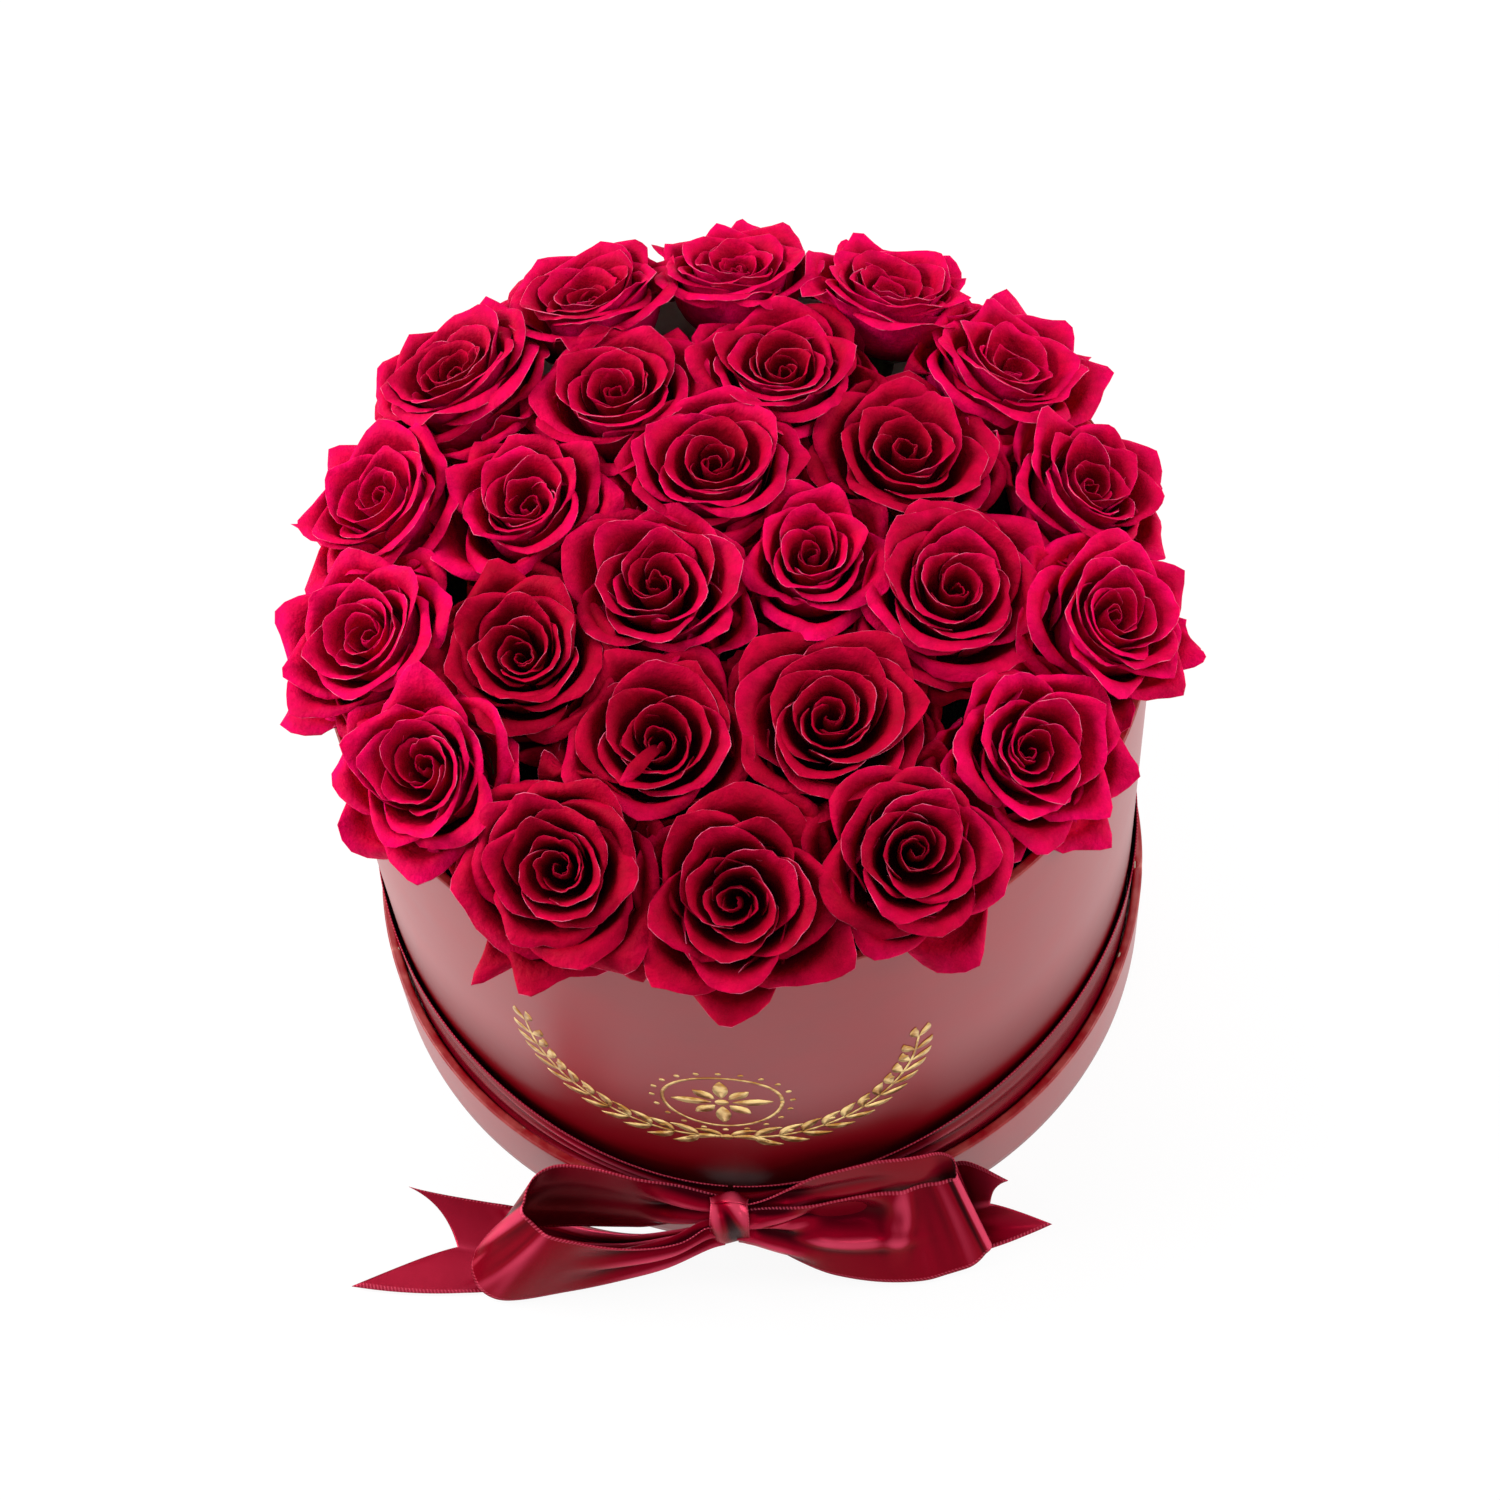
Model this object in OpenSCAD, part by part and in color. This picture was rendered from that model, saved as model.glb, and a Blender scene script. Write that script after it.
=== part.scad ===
// Round flower box, in millimetres: a paper-wrapped card box that stands in its own upturned lid,
// with a satin ribbon and bow round its foot and preserved roses planted in dry foam.
// The origin is on the table under the middle of the lid, +Z is up and the bow faces -Y.

/* [Box] */
// Outer diameter of the wrapped box
box_d = 230; // [215:1:245]
// Height of the box from its foot to its rim
box_h = 178.5; // [165:0.5:195]
// Thickness of the card of the box's wall
wall_card = 2; // [1.5:0.1:2.5]
// Thickness of the card of the box's base
base_card = 2.5; // [1.5:0.1:3]
// Thickness of the wrapping paper
paper = 0.3; // [0.2:0.05:0.4]
// Depth of the paper that is turned in over the box's rim
rim_turn_in = 14; // [8:1:20]

/* [Lid] */
// Height of the lid's wall
lid_h = 28.8; // [25:0.2:32]
// Thickness of the card of the lid's wall
lid_card = 2.2; // [1.6:0.1:2.6]
// Thickness of the card of the lid's disc
disc_card = 2.2; // [1.6:0.1:3]
// Free room between the box and the inside of the lid, on each side
lid_room = 1.7; // [1.4:0.1:2.2]
// Depth of the paper that is turned in over the lid's rim
lid_turn_in = 16; // [8:1:20]

/* [Foam] */
// Height of the foam block
foam_h = 122; // [110:1:130]
// Chamfer round the top of the foam block
foam_chamfer = 3; // [1:0.5:5]
// Diameter of a rose's stem
stem_d = 4.4; // [3.6:0.1:5]
// Length of stem that is pushed into the foam
stem_depth = 36; // [25:1:42]

/* [Roses] */
// Height of a bloom from the foot of its petals to their tips
bloom_h = 31; // [28:0.5:33]
// Thickness of a petal
petal_t = 0.6; // [0.4:0.05:0.7]
// Height of the foot that the petals grow from
foot_h = 7; // [6:0.5:8]
// Radius of a bloom at its shoulder, where the outer petals turn up
shoulder_r = 17; // [15:0.5:17.5]
// Height of the shoulder above the foot of the petals
shoulder_h = 13; // [11:0.5:15]
// Radius of the green hip under a bloom
hip_r = 4.6; // [4:0.1:5.4]
// Height of the hip
hip_h = 9; // [7:0.5:11]
// Width of a sepal, as an angle round the hip
sepal_span = 34; // [24:2:44]
// Lean of the outer ring of roses away from upright
outer_lean = 25; // [22:1:28]
// Lean of the middle ring
middle_lean = 9; // [6:1:12]
// Lean of the three roses at the centre
centre_lean = 4; // [2:1:6]

/* [Ribbon] */
// Width of the satin ribbon
ribbon_w = 38; // [35:1:40]
// Thickness of the ribbon
ribbon_t = 0.4; // [0.3:0.05:0.5]
// Length of ribbon edge that is tucked down inside the lid
tuck = 8; // [4:0.5:12]
// Width of the knot along the ribbon
knot_w = 14; // [12:0.5:16]
// Depth of the knot from back to front
knot_depth = 12; // [11:0.5:13]
// Height of the knot
knot_h = 26; // [24:0.5:28]
// Depth of the two pleats pressed into the knot's front
knot_pleat = 0.8; // [0.4:0.1:1.2]

/* [Hidden] */
$fn = 96;
glue = 0.05;              // film of glue between paper and card
seat = 0.3;               // clearance of a soft piece from what carries it
golden = 137.5;           // turn from one petal to the next
fold_r = 0.45;            // roundness of the paper's fold over a rim

// Lid, from the table up and from the outside in
box_r = box_d / 2;
lid_in_r = box_r + lid_room;
lid_card_in_r = lid_in_r + paper + glue;
lid_card_r = lid_card_in_r + lid_card;
lid_r = lid_card_r + glue + paper;
disc_z = paper + glue;
floor_paper_z = disc_z + disc_card + glue;
lid_floor = floor_paper_z + paper;

// Box, from its foot up and from the outside in
rim_z = lid_floor + box_h;
card_r = box_r - paper - glue;
card_in_r = card_r - wall_card;
lining_r = card_in_r - glue;
inner_r = lining_r - paper;
base_z = lid_floor + paper + glue;
inside_z = base_z + base_card;

// Foam and planting
foam_r = inner_r - seat;
foam_z = inside_z + glue;
foam_top = foam_z + foam_h;
stem_r = stem_d / 2;
stem_hole_r = stem_r + 0.1;

// A bloom leans over the box's rim with its shoulder just clear of the card, also under a petal that
// stands off its neighbours
petal_shift = 1.2;        // how far an outer petal stands off its neighbours on its open side
rim_room = petal_shift + 0.8;
outer_ring_r = inner_r + seat - shoulder_r * cos(outer_lean) - shoulder_h * sin(outer_lean);
outer_ring_z = rim_z + rim_room - shoulder_h * cos(outer_lean) + shoulder_r * sin(outer_lean);
middle_ring_r = 0.615 * outer_ring_r;
centre_ring_r = 0.233 * outer_ring_r;
middle_rise = 5;          // how much higher the middle ring of roses stands than the outer one
centre_rise = 9;          // and the three at the centre
middle_ring_z = outer_ring_z + middle_rise;
centre_ring_z = outer_ring_z + centre_rise;
rim_ride = 0.9;           // rise of a bloom for each millimetre that it is pushed out over the rim

// Planting: [turn from +X in degrees, distance pushed outwards], chosen by eye as a florist does
outer_plants = [[17, 0], [43, 0], [67, 0.5], [93, -1], [118, 0], [144, 1], [170, -1], [195, 0], [221, 1],
                [248, 2], [275, 0], [302, 1], [327.5, -1], [352, 5]];
middle_plants = [[36, -3], [80, 1], [125, 1], [166, -1], [213, 3], [256, 0], [301, -1], [350, 2]];
centre_plants = [[104, 2], [218, 0], [353, 0]];

// A bloom is domed: the petals halfway out stand tallest, the eye lies in a cup and the outermost
// petals open lower
eye_dip = 6;              // depth of the eye below the tallest petals
outer_drop = 3;           // how much lower the outermost tips are than the tallest
tallest = 0.7;            // share of the bloom's radius at which its petals stand tallest
petal_span = 136;         // width of a petal, as an angle round the bloom
rose_turn = 50;           // turn from one rose to the next, so that no two face alike

// Neighbours in a ring share the room between their axes at the height of the outermost tips
bloom_room = 0.8;
outer_tip_r = outer_ring_r + (bloom_h - outer_drop) * sin(outer_lean);
middle_tip_r = middle_ring_r + (bloom_h - outer_drop) * sin(middle_lean);
centre_tip_r = centre_ring_r + (bloom_h - outer_drop) * sin(centre_lean);
outer_bloom_r = outer_tip_r * sin(24 / 2) - bloom_room / 2;
middle_bloom_r = middle_tip_r * sin(41 / 2) - bloom_room / 2;
centre_bloom_r = centre_tip_r * sin(111 / 2) - bloom_room / 2;

// Bow, in coordinates wrapped round the lid: [distance round from the front, out from the lid, height]
knot_rise = 8.2;
knot_z = lid_h + knot_rise;
band_back = 0.6;          // ribbon's stand-off from the box where it is tucked in
band_flare = 0.8;         // further stand-off of its upper edge
knot_back = lid_r + 1.1;
band_front_r = knot_back - seat - ribbon_t;
root = knot_w / 2 - 0.1;

// ---- Shapes used more than once ----

// A ring of rectangular section between two radii and two heights
module ring(r_in, r_out, z_low, z_high) {
  rotate_extrude() translate([r_in, z_low]) square([r_out - r_in, z_high - z_low]);
}

module disc(r, z, t) {
  translate([0, 0, z]) cylinder(r = r, h = t);
}

// A quarter round from one angle to the next, as points about a middle
function bend(x, y, r, from) = [for (a = [from:30:from + 90]) [x + r * cos(a), y + r * sin(a)]];

// Paper round a card wall: outside skin, folded over the rim and turned in
module wrap(r_in, r_out, z_low, z_rim, turn_in) {
  rotate_extrude() polygon(concat(
    [[r_out - paper, z_low], [r_out, z_low]],
    bend(r_out - fold_r, z_rim - fold_r, fold_r, 0), bend(r_in + fold_r, z_rim - fold_r, fold_r, 90),
    [[r_in, z_rim - turn_in], [r_in + paper, z_rim - turn_in], [r_in + paper, z_rim - paper],
     [r_out - paper, z_rim - paper]]));
}

// ---- Lid, upturned, with its disc on the table ----

module lid_cover_paper() {
  color("#8a1230") disc(lid_card_r, 0, paper);
}

module lid_disc() {
  color("#b7a98f") disc(lid_card_in_r - glue, disc_z, disc_card);
}

module lid_wall() {
  color("#b7a98f") ring(lid_card_in_r, lid_card_r, disc_z, lid_h - paper - glue);
}

module lid_wrap() {
  color("#8a1230") wrap(lid_in_r, lid_r, 0, lid_h, lid_turn_in);
}

module lid_floor_paper() {
  color("#efe9df") disc(lid_card_in_r - glue, floor_paper_z, paper);
}

// ---- Box ----

module box_foot_paper() {
  color("#8a1230") disc(card_r, lid_floor, paper);
}

module box_base() {
  color("#b7a98f") disc(card_in_r - glue, base_z, base_card);
}

module box_wall() {
  color("#b7a98f") ring(card_in_r, card_r, base_z, rim_z - paper - glue);
}

module box_wrap() {
  color("#8a1230") wrap(inner_r, box_r, lid_floor, rim_z, rim_turn_in);
}

module box_lining() {
  color("#efe9df") ring(inner_r, lining_r, inside_z + glue, rim_z - rim_turn_in - glue);
}

// ---- Planting ----

// Puts its children on a rose's axis, with the foot of the petals at the origin
module plant(ring_r, ring_z, lean, spot) {
  out = spot[1];
  rotate([0, 0, spot[0]]) translate([ring_r + out, 0, ring_z + rim_ride * max(out, 0)])
    rotate([0, lean, 0]) children();
}

// Its children once on each rose's axis
module each_plant() {
  for (spot = outer_plants) plant(outer_ring_r, outer_ring_z, outer_lean, spot) children();
  for (spot = middle_plants) plant(middle_ring_r, middle_ring_z, middle_lean, spot) children();
  for (spot = centre_plants) plant(centre_ring_r, centre_ring_z, centre_lean, spot) children();
}

// One stem along its rose's axis, from under the hip to its depth in the foam
module stem(ring_z, lean, out, r, spare) {
  length = (ring_z + rim_ride * max(out, 0) - foam_top) / cos(lean) + stem_depth + spare;
  translate([0, 0, -length]) cylinder(r = r, h = length - hip_h - glue);
}

module stems(r, spare) {
  for (spot = outer_plants) plant(outer_ring_r, outer_ring_z, outer_lean, spot)
    stem(outer_ring_z, outer_lean, spot[1], r, spare);
  for (spot = middle_plants) plant(middle_ring_r, middle_ring_z, middle_lean, spot)
    stem(middle_ring_z, middle_lean, spot[1], r, spare);
  for (spot = centre_plants) plant(centre_ring_r, centre_ring_z, centre_lean, spot)
    stem(centre_ring_z, centre_lean, spot[1], r, spare);
}

module foam_block() {
  color("#4f6b4a") difference() {
    rotate_extrude() polygon([[0, foam_z], [foam_r, foam_z], [foam_r, foam_top - foam_chamfer],
                              [foam_r - foam_chamfer, foam_top], [0, foam_top]]);
    stems(stem_hole_r, 0.5);
  }
}

module rose_stems() {
  color("#5c7a3a") stems(stem_r, 0);
}

// The underside of the petals' foot, which the hip and sepals lie against
foot_r = 14;
foot_line = [[0, 0], [0.29 * foot_r, 0], [0.68 * foot_r, 0.47 * foot_h], [foot_r, foot_h - 0.6]];

module calyx() {
  gap = 0.15;
  sepal_t = 0.5;
  rotate_extrude() polygon([[0, -hip_h], [stem_r, -hip_h], [hip_r, -0.65 * hip_h], [hip_r, -0.3 * hip_h],
                            [3.8, -gap], [0, -gap]]);
  for (i = [0:4]) rotate([0, 0, 72 * i]) rotate_extrude(angle = sepal_span) polygon([
    [0.21 * foot_r, -gap - 0.8], [0.3 * foot_r, -gap - 0.8], [0.707 * foot_r, foot_line[2][1] - gap - 0.7],
    [0.97 * foot_r, foot_h - 1.6], [0.94 * foot_r, foot_h - 1.2], [0.686 * foot_r, foot_line[2][1] - gap],
    [0.3 * foot_r, -gap], [0.21 * foot_r, -gap]]);
}

module rose_calyxes() {
  color("#46602f") each_plant() calyx();
}

// Height of the tips of the petals at a share of the bloom's radius
function tip_height(size) = bloom_h - (size < tallest
  ? eye_dip * pow((tallest - size) / tallest, 2) * 2
  : outer_drop * pow((size - tallest) / (1 - tallest), 2));

// One petal: part of a flaring cup, cut to a pointed outline. size runs from 0 at the eye to 1 outside
module petal(size, bloom_r, span) {
  half_w = bloom_r * size * sin(span / 2) + 1;
  rise = 0.5;
  tip_h = tip_height(size);
  line = [[foot_r * size - 0.6, foot_h - rise], [shoulder_r * size, shoulder_h],
          [0.93 * bloom_r * size, 0.8 * tip_h], [bloom_r * size, tip_h]];
  back = [for (i = [len(line) - 1:-1:0]) line[i] - [petal_t, 0]];
  intersection() {
    rotate([0, 0, -span / 2]) rotate_extrude(angle = span) polygon(concat(line, back));
    rotate([90, 0, 90]) linear_extrude(height = 2 * bloom_r) polygon([
      [-half_w, 0], [half_w, 0], [half_w, 0.78 * tip_h], [0, tip_h + 0.5], [-half_w, 0.78 * tip_h]]);
  }
}

// A bloom: its foot, the furled eye, and petals that open outwards along the golden turn
module bloom(bloom_r, turn, petals = 9) {
  inmost = 0.32;
  eye_tip = bloom_h - eye_dip;
  rotate([0, 0, turn]) {
    rotate_extrude() polygon(concat(foot_line, [
      [foot_r, foot_h], [2.2, foot_h], [3.2, 0.45 * bloom_h], [3, 0.9 * eye_tip], [1.2, eye_tip - 0.5],
      [0, eye_tip]]));
    for (k = [0:petals - 1]) {
      size = inmost + (1 - inmost) * pow(k / (petals - 1), 0.8);
      rotate([0, 0, golden * k]) translate([petal_shift * (k + 1) / petals, 0, 0])
        petal(size, bloom_r - petal_shift, petal_span);
    }
  }
}

module rose_outer(i) {
  color("#b00f3c") plant(outer_ring_r, outer_ring_z, outer_lean, outer_plants[i])
    bloom(outer_bloom_r, rose_turn * i);
}

module rose_middle(i) {
  color("#a30c37") plant(middle_ring_r, middle_ring_z, middle_lean, middle_plants[i])
    bloom(middle_bloom_r, 1.4 * rose_turn * (i + 0.3));
}

module rose_centre(i) {
  color("#a30c37") plant(centre_ring_r, centre_ring_z, centre_lean, centre_plants[i])
    bloom(centre_bloom_r, 2 * rose_turn * i);
}

// ---- Ribbon ----

// A point on a smooth curve through p1 and p2, with p0 and p3 beyond them
function spline(p0, p1, p2, p3, t) =
  0.5 * (2 * p1 + (p2 - p0) * t + (2 * p0 - 5 * p1 + 4 * p2 - p3) * t * t
         + (3 * p1 - p0 - 3 * p2 + p3) * t * t * t);

// A list of ribs, each a list of points, filled in with steps more ribs along smooth curves
function smooth_ribs(ribs, steps) = [
  for (i = [0:len(ribs) - 2], k = [0:steps - 1])
    [for (j = [0:len(ribs[0]) - 1])
      spline(ribs[max(i - 1, 0)][j], ribs[i][j], ribs[i + 1][j], ribs[min(i + 2, len(ribs) - 1)][j],
             k / steps)],
  ribs[len(ribs) - 1]];

// The unit normal of a sheet of ribs at rib i, point j
function sheet_normal(ribs, i, j, closed) =
  let (n = len(ribs), m = len(ribs[0]),
       ahead = closed ? ribs[(i + 1) % n][j] : ribs[min(i + 1, n - 1)][j],
       behind = closed ? ribs[(i + n - 1) % n][j] : ribs[max(i - 1, 0)][j],
       c = cross(ahead - behind, ribs[i][min(j + 1, m - 1)] - ribs[i][max(j - 1, 0)]))
  c / norm(c);

// A closed solid of the given thickness on a sheet of ribs, open at its ends or joined into a ring
module sheet(ribs, thick, closed = false) {
  n = len(ribs);
  m = len(ribs[0]);
  top = [for (i = [0:n - 1], j = [0:m - 1]) ribs[i][j] + sheet_normal(ribs, i, j, closed) * thick / 2];
  under = [for (i = [0:n - 1], j = [0:m - 1]) ribs[i][j] - sheet_normal(ribs, i, j, closed) * thick / 2];
  size = n * m;
  last = closed ? n - 1 : n - 2;
  faces = concat(
    [for (i = [0:last], j = [0:m - 2]) let (q = (i + 1) % n)
      each [[i * m + j, q * m + j, q * m + j + 1], [i * m + j, q * m + j + 1, i * m + j + 1]]],
    [for (i = [0:last], j = [0:m - 2]) let (q = (i + 1) % n)
      each [[size + i * m + j, size + q * m + j + 1, size + q * m + j],
            [size + i * m + j, size + i * m + j + 1, size + q * m + j + 1]]],
    [for (i = [0:last]) let (q = (i + 1) % n)
      each [[i * m, size + i * m, size + q * m], [i * m, size + q * m, q * m]]],
    [for (i = [0:last]) let (q = (i + 1) % n, e = m - 1)
      each [[i * m + e, size + q * m + e, size + i * m + e], [i * m + e, q * m + e, size + q * m + e]]],
    closed ? [] : [for (j = [0:m - 2])
      each [[j, j + 1, size + j + 1], [j, size + j + 1, size + j]]],
    closed ? [] : [for (j = [0:m - 2]) let (b = (n - 1) * m)
      each [[b + j, size + b + j + 1, b + j + 1], [b + j, size + b + j, size + b + j + 1]]]);
  polyhedron(points = concat(top, under), faces = faces, convexity = 6);
}

// How strongly the knot pulls the band at a turn from the front, 1 at the knot and 0 behind
function pull(turn, power) = pow(cos(turn / 2), power);

band_low = lid_h - tuck;
band_ribs = [for (turn = [0:6:354])
  let (p = pull(turn, 24),
       z_low = band_low + pull(turn, 16) * (lid_h + 1.5 - band_low),
       z_high = band_low + ribbon_w + p * (knot_z + 10 - band_low - ribbon_w),
       r_low = box_r + band_back + pull(turn, 300) * (band_front_r - box_r - band_back),
       r_high = box_r + band_back + band_flare + p * (band_front_r - box_r - band_back - band_flare))
  [[r_low * sin(turn), -r_low * cos(turn), z_low], [r_high * sin(turn), -r_high * cos(turn), z_high]]];

module ribbon_band() {
  color("#93122f") sheet(band_ribs, ribbon_t, closed = true);
}

module bow_knot() {
  depth_r = knot_depth / 2;
  straight = knot_h / 2 - depth_r;
  middle_y = -knot_back - depth_r;
  color("#93122f") difference() {
    translate([-knot_w / 2, middle_y, knot_z]) rotate([90, 0, 90]) linear_extrude(height = knot_w) {
      translate([0, straight]) circle(r = depth_r);
      translate([0, -straight]) circle(r = depth_r);
      square([2 * depth_r, 2 * straight], center = true);
    }
    for (side = [-1, 1]) translate([side * knot_w / 5, -knot_back - knot_depth, knot_z])
      cylinder(r = knot_pleat, h = knot_h + 2, center = true);
  }
}

// Ribs in wrapped coordinates, brought to the lid, the knot's height and the ribbon's width
function wrapped(p) = let (turn = p[0] / lid_r * 180 / PI)
  [(lid_r + p[1]) * sin(turn), -(lid_r + p[1]) * cos(turn), p[2] * knot_z / 37];
function widened(rib) = [for (p = rib) rib[0] + (p - rib[0]) * ribbon_w / 38];
function bow_ribs(ribs, steps) = smooth_ribs([for (rib = ribs) [for (p = widened(rib)) wrapped(p)]], steps);

// Each loop runs from the back of the knot, round its end and back to the front of the knot,
// as pairs of [lower edge, upper edge]
loop_left = [
  [[-root, 5.5, 30], [-root, 5, 47]], [[-19, 5.5, 20], [-18.5, 4, 49]], [[-32.5, 6.5, 13], [-32.5, 4, 50]],
  [[-47, 10.5, 8], [-43.5, 4.5, 47]], [[-58, 17.5, 6], [-51.5, 7, 44]], [[-65, 27.5, 4.5], [-55.5, 12.5, 41]],
  [[-65, 37, 4], [-54.5, 19.5, 38]], [[-59, 40.5, 3], [-50, 24, 36]], [[-52, 37, 1.5], [-44, 24, 35]],
  [[-41.5, 27.5, 1.5], [-36, 22, 34]], [[-29.5, 19.5, 7], [-24.5, 18.5, 35]],
  [[-18, 15, 16], [-13.5, 14.5, 38]], [[-root, 11.5, 27], [-root, 10.5, 42]]];
loop_right = [
  [[root, 4.5, 30], [root, 4, 48]], [[17.5, 4.5, 24], [16.5, 3, 53]], [[31, 4.5, 20], [28.5, 2.5, 57]],
  [[46, 6, 17], [44, 2, 56]], [[58.5, 8.5, 12], [58, 3, 51]], [[67, 14, 7], [64.5, 5, 45]],
  [[68, 21.5, 5], [64, 8.5, 39]], [[61.5, 24.5, 2.5], [58.5, 8, 38]], [[52, 23, 1.5], [51, 6.5, 38]],
  [[40.5, 19.5, 2], [39.5, 4.5, 38.5]], [[28.5, 15.5, 5.5], [27.5, 5, 40]],
  [[17.5, 12.5, 13], [16.5, 6.5, 42]], [[root, 11, 27], [root, 8.5, 45]]];
// Each tail runs from under the knot to its swallow-tail, as [front edge, middle, back edge]
tail_left = [
  [[-root, 10.5, 25.5], [-root, 8, 25.5], [-root, 5, 26]], [[-16.5, 10.5, 14], [-16.5, 7.5, 15.5], [-16.5, 4.5, 16.5]],
  [[-29.5, 14.5, 5], [-29.5, 10.5, 6.5], [-29, 5.5, 8]], [[-43, 22.5, 1.5], [-41.5, 15, 2.5], [-42.5, 6.5, 3]],
  [[-54.5, 34.5, 1], [-51, 20, 1.2], [-59, 9, 1.5]], [[-68, 48, 1], [-61.5, 26.5, 1], [-74.5, 17.5, 2]],
  [[-83, 63, 1.2], [-71.5, 33, 1], [-90, 30, 6]]];
tail_right = [
  [[root, 10.5, 25.5], [root, 8, 25.5], [root, 5, 26]], [[16.5, 10, 13], [16, 6.5, 14.5], [16.5, 4, 19]],
  [[28.5, 11, 4], [29, 5, 5.5], [29.5, 2.2, 15]], [[42, 13.5, 1.5], [43.5, 4, 3], [44.5, 1.5, 18]],
  [[54, 17.5, 1], [57.5, 3.5, 3], [57.5, 1.5, 25]], [[68, 21.5, 1], [66.5, 7.5, 6], [69, 3.5, 32]],
  [[84.5, 26.5, 4], [72, 14.5, 17], [75.5, 17.5, 37]]];

module bow_loop_left() {
  color("#9c1433") sheet(bow_ribs(loop_left, 3), ribbon_t);
}

module bow_loop_right() {
  color("#9c1433") sheet(bow_ribs(loop_right, 3), ribbon_t);
}

module bow_tail_left() {
  color("#8c112e") sheet(bow_ribs(tail_left, 3), ribbon_t);
}

module bow_tail_right() {
  color("#8c112e") sheet(bow_ribs(tail_right, 3), ribbon_t);
}

lid_cover_paper();
lid_disc();
lid_wall();
lid_wrap();
lid_floor_paper();
box_foot_paper();
box_base();
box_wall();
box_wrap();
box_lining();
foam_block();
rose_stems();
rose_calyxes();
rose_outer(0);  // rose_outer_01
rose_outer(1);  // rose_outer_02
rose_outer(2);  // rose_outer_03
rose_outer(3);  // rose_outer_04
rose_outer(4);  // rose_outer_05
rose_outer(5);  // rose_outer_06
rose_outer(6);  // rose_outer_07
rose_outer(7);  // rose_outer_08
rose_outer(8);  // rose_outer_09
rose_outer(9);  // rose_outer_10
rose_outer(10);  // rose_outer_11
rose_outer(11);  // rose_outer_12
rose_outer(12);  // rose_outer_13
rose_outer(13);  // rose_outer_14
rose_middle(0);  // rose_middle_01
rose_middle(1);  // rose_middle_02
rose_middle(2);  // rose_middle_03
rose_middle(3);  // rose_middle_04
rose_middle(4);  // rose_middle_05
rose_middle(5);  // rose_middle_06
rose_middle(6);  // rose_middle_07
rose_middle(7);  // rose_middle_08
rose_centre(0);  // rose_centre_01
rose_centre(1);  // rose_centre_02
rose_centre(2);  // rose_centre_03
ribbon_band();
bow_knot();
bow_loop_left();
bow_loop_right();
bow_tail_left();
bow_tail_right();
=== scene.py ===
# %% [markdown]
# # A round flower box with a ribbon bow
# A florist's hat box is a card tube covered in laminated paper. It stands in its own upturned
# lid, a satin ribbon is tied round its foot, and preserved rose heads are planted in dry foam
# until they hide it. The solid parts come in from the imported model. This lesson dresses them: the
# papers get rounded folds, the roses are grown petal by petal, and the bow is laid out as a strip
# of ribbon.

import math

import bpy
import numpy as np
from mathutils import Matrix, Vector


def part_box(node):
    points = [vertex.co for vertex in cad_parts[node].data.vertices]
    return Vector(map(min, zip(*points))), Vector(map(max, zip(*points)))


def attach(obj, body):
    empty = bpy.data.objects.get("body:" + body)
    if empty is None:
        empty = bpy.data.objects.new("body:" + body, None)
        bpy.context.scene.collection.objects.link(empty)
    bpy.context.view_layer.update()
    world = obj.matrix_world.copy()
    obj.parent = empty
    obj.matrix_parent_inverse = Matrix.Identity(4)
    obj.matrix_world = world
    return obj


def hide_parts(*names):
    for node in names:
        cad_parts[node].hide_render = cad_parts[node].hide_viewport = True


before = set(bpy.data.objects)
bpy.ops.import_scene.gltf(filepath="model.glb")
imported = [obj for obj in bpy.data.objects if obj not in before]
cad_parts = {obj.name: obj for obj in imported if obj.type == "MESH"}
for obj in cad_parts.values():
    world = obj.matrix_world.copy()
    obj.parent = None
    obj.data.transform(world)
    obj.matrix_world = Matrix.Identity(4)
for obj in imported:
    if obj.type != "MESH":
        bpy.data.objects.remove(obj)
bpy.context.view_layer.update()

# %% Sizes of the box, in metres
MM = 0.001
PAPER = 0.3 * MM                       # thickness of the covering paper
FOAM_SEAT = 0.3 * MM                   # room between the foam and the box's wall
LID_ROOM = 1.7 * MM                    # room between the box and the lid's wall
lid_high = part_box("lid_wrap")[1]
wrap_low, wrap_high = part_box("box_wrap")
LID_R, LID_H = lid_high.x, lid_high.z
BOX_R, RIM_Z, BOX_FOOT = wrap_high.x, wrap_high.z, wrap_low.z
INNER_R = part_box("foam_block")[1].x + FOAM_SEAT
LID_IN_R = BOX_R + LID_ROOM
print(f"box {2 * BOX_R / MM:.0f} mm across, rim at {RIM_Z / MM:.1f} mm")
print(f"lid {LID_H / MM:.1f} mm high")

# %% [markdown]
# ## The camera
# A box of flowers is best seen from above, through a longish lens. The camera is made first. It
# looks down at about 61 degrees and is rolled a little, so the box leans to the left in the frame.

# %% Make the camera
CAMERA_TURN = math.radians(9)          # round the box, from straight in front of the bow
CAMERA_SLOPE = math.radians(63.61)     # below the horizon
CAMERA_TILT = 0.0414                   # aimed a little above the origin
CAMERA_ROLL = math.radians(-5.89)
CAMERA_PLACE = Vector((0, -0.48475, 0.97680))
LENS, SENSOR = 81.24, 36               # focal length and width of the sensor, in mm


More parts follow.
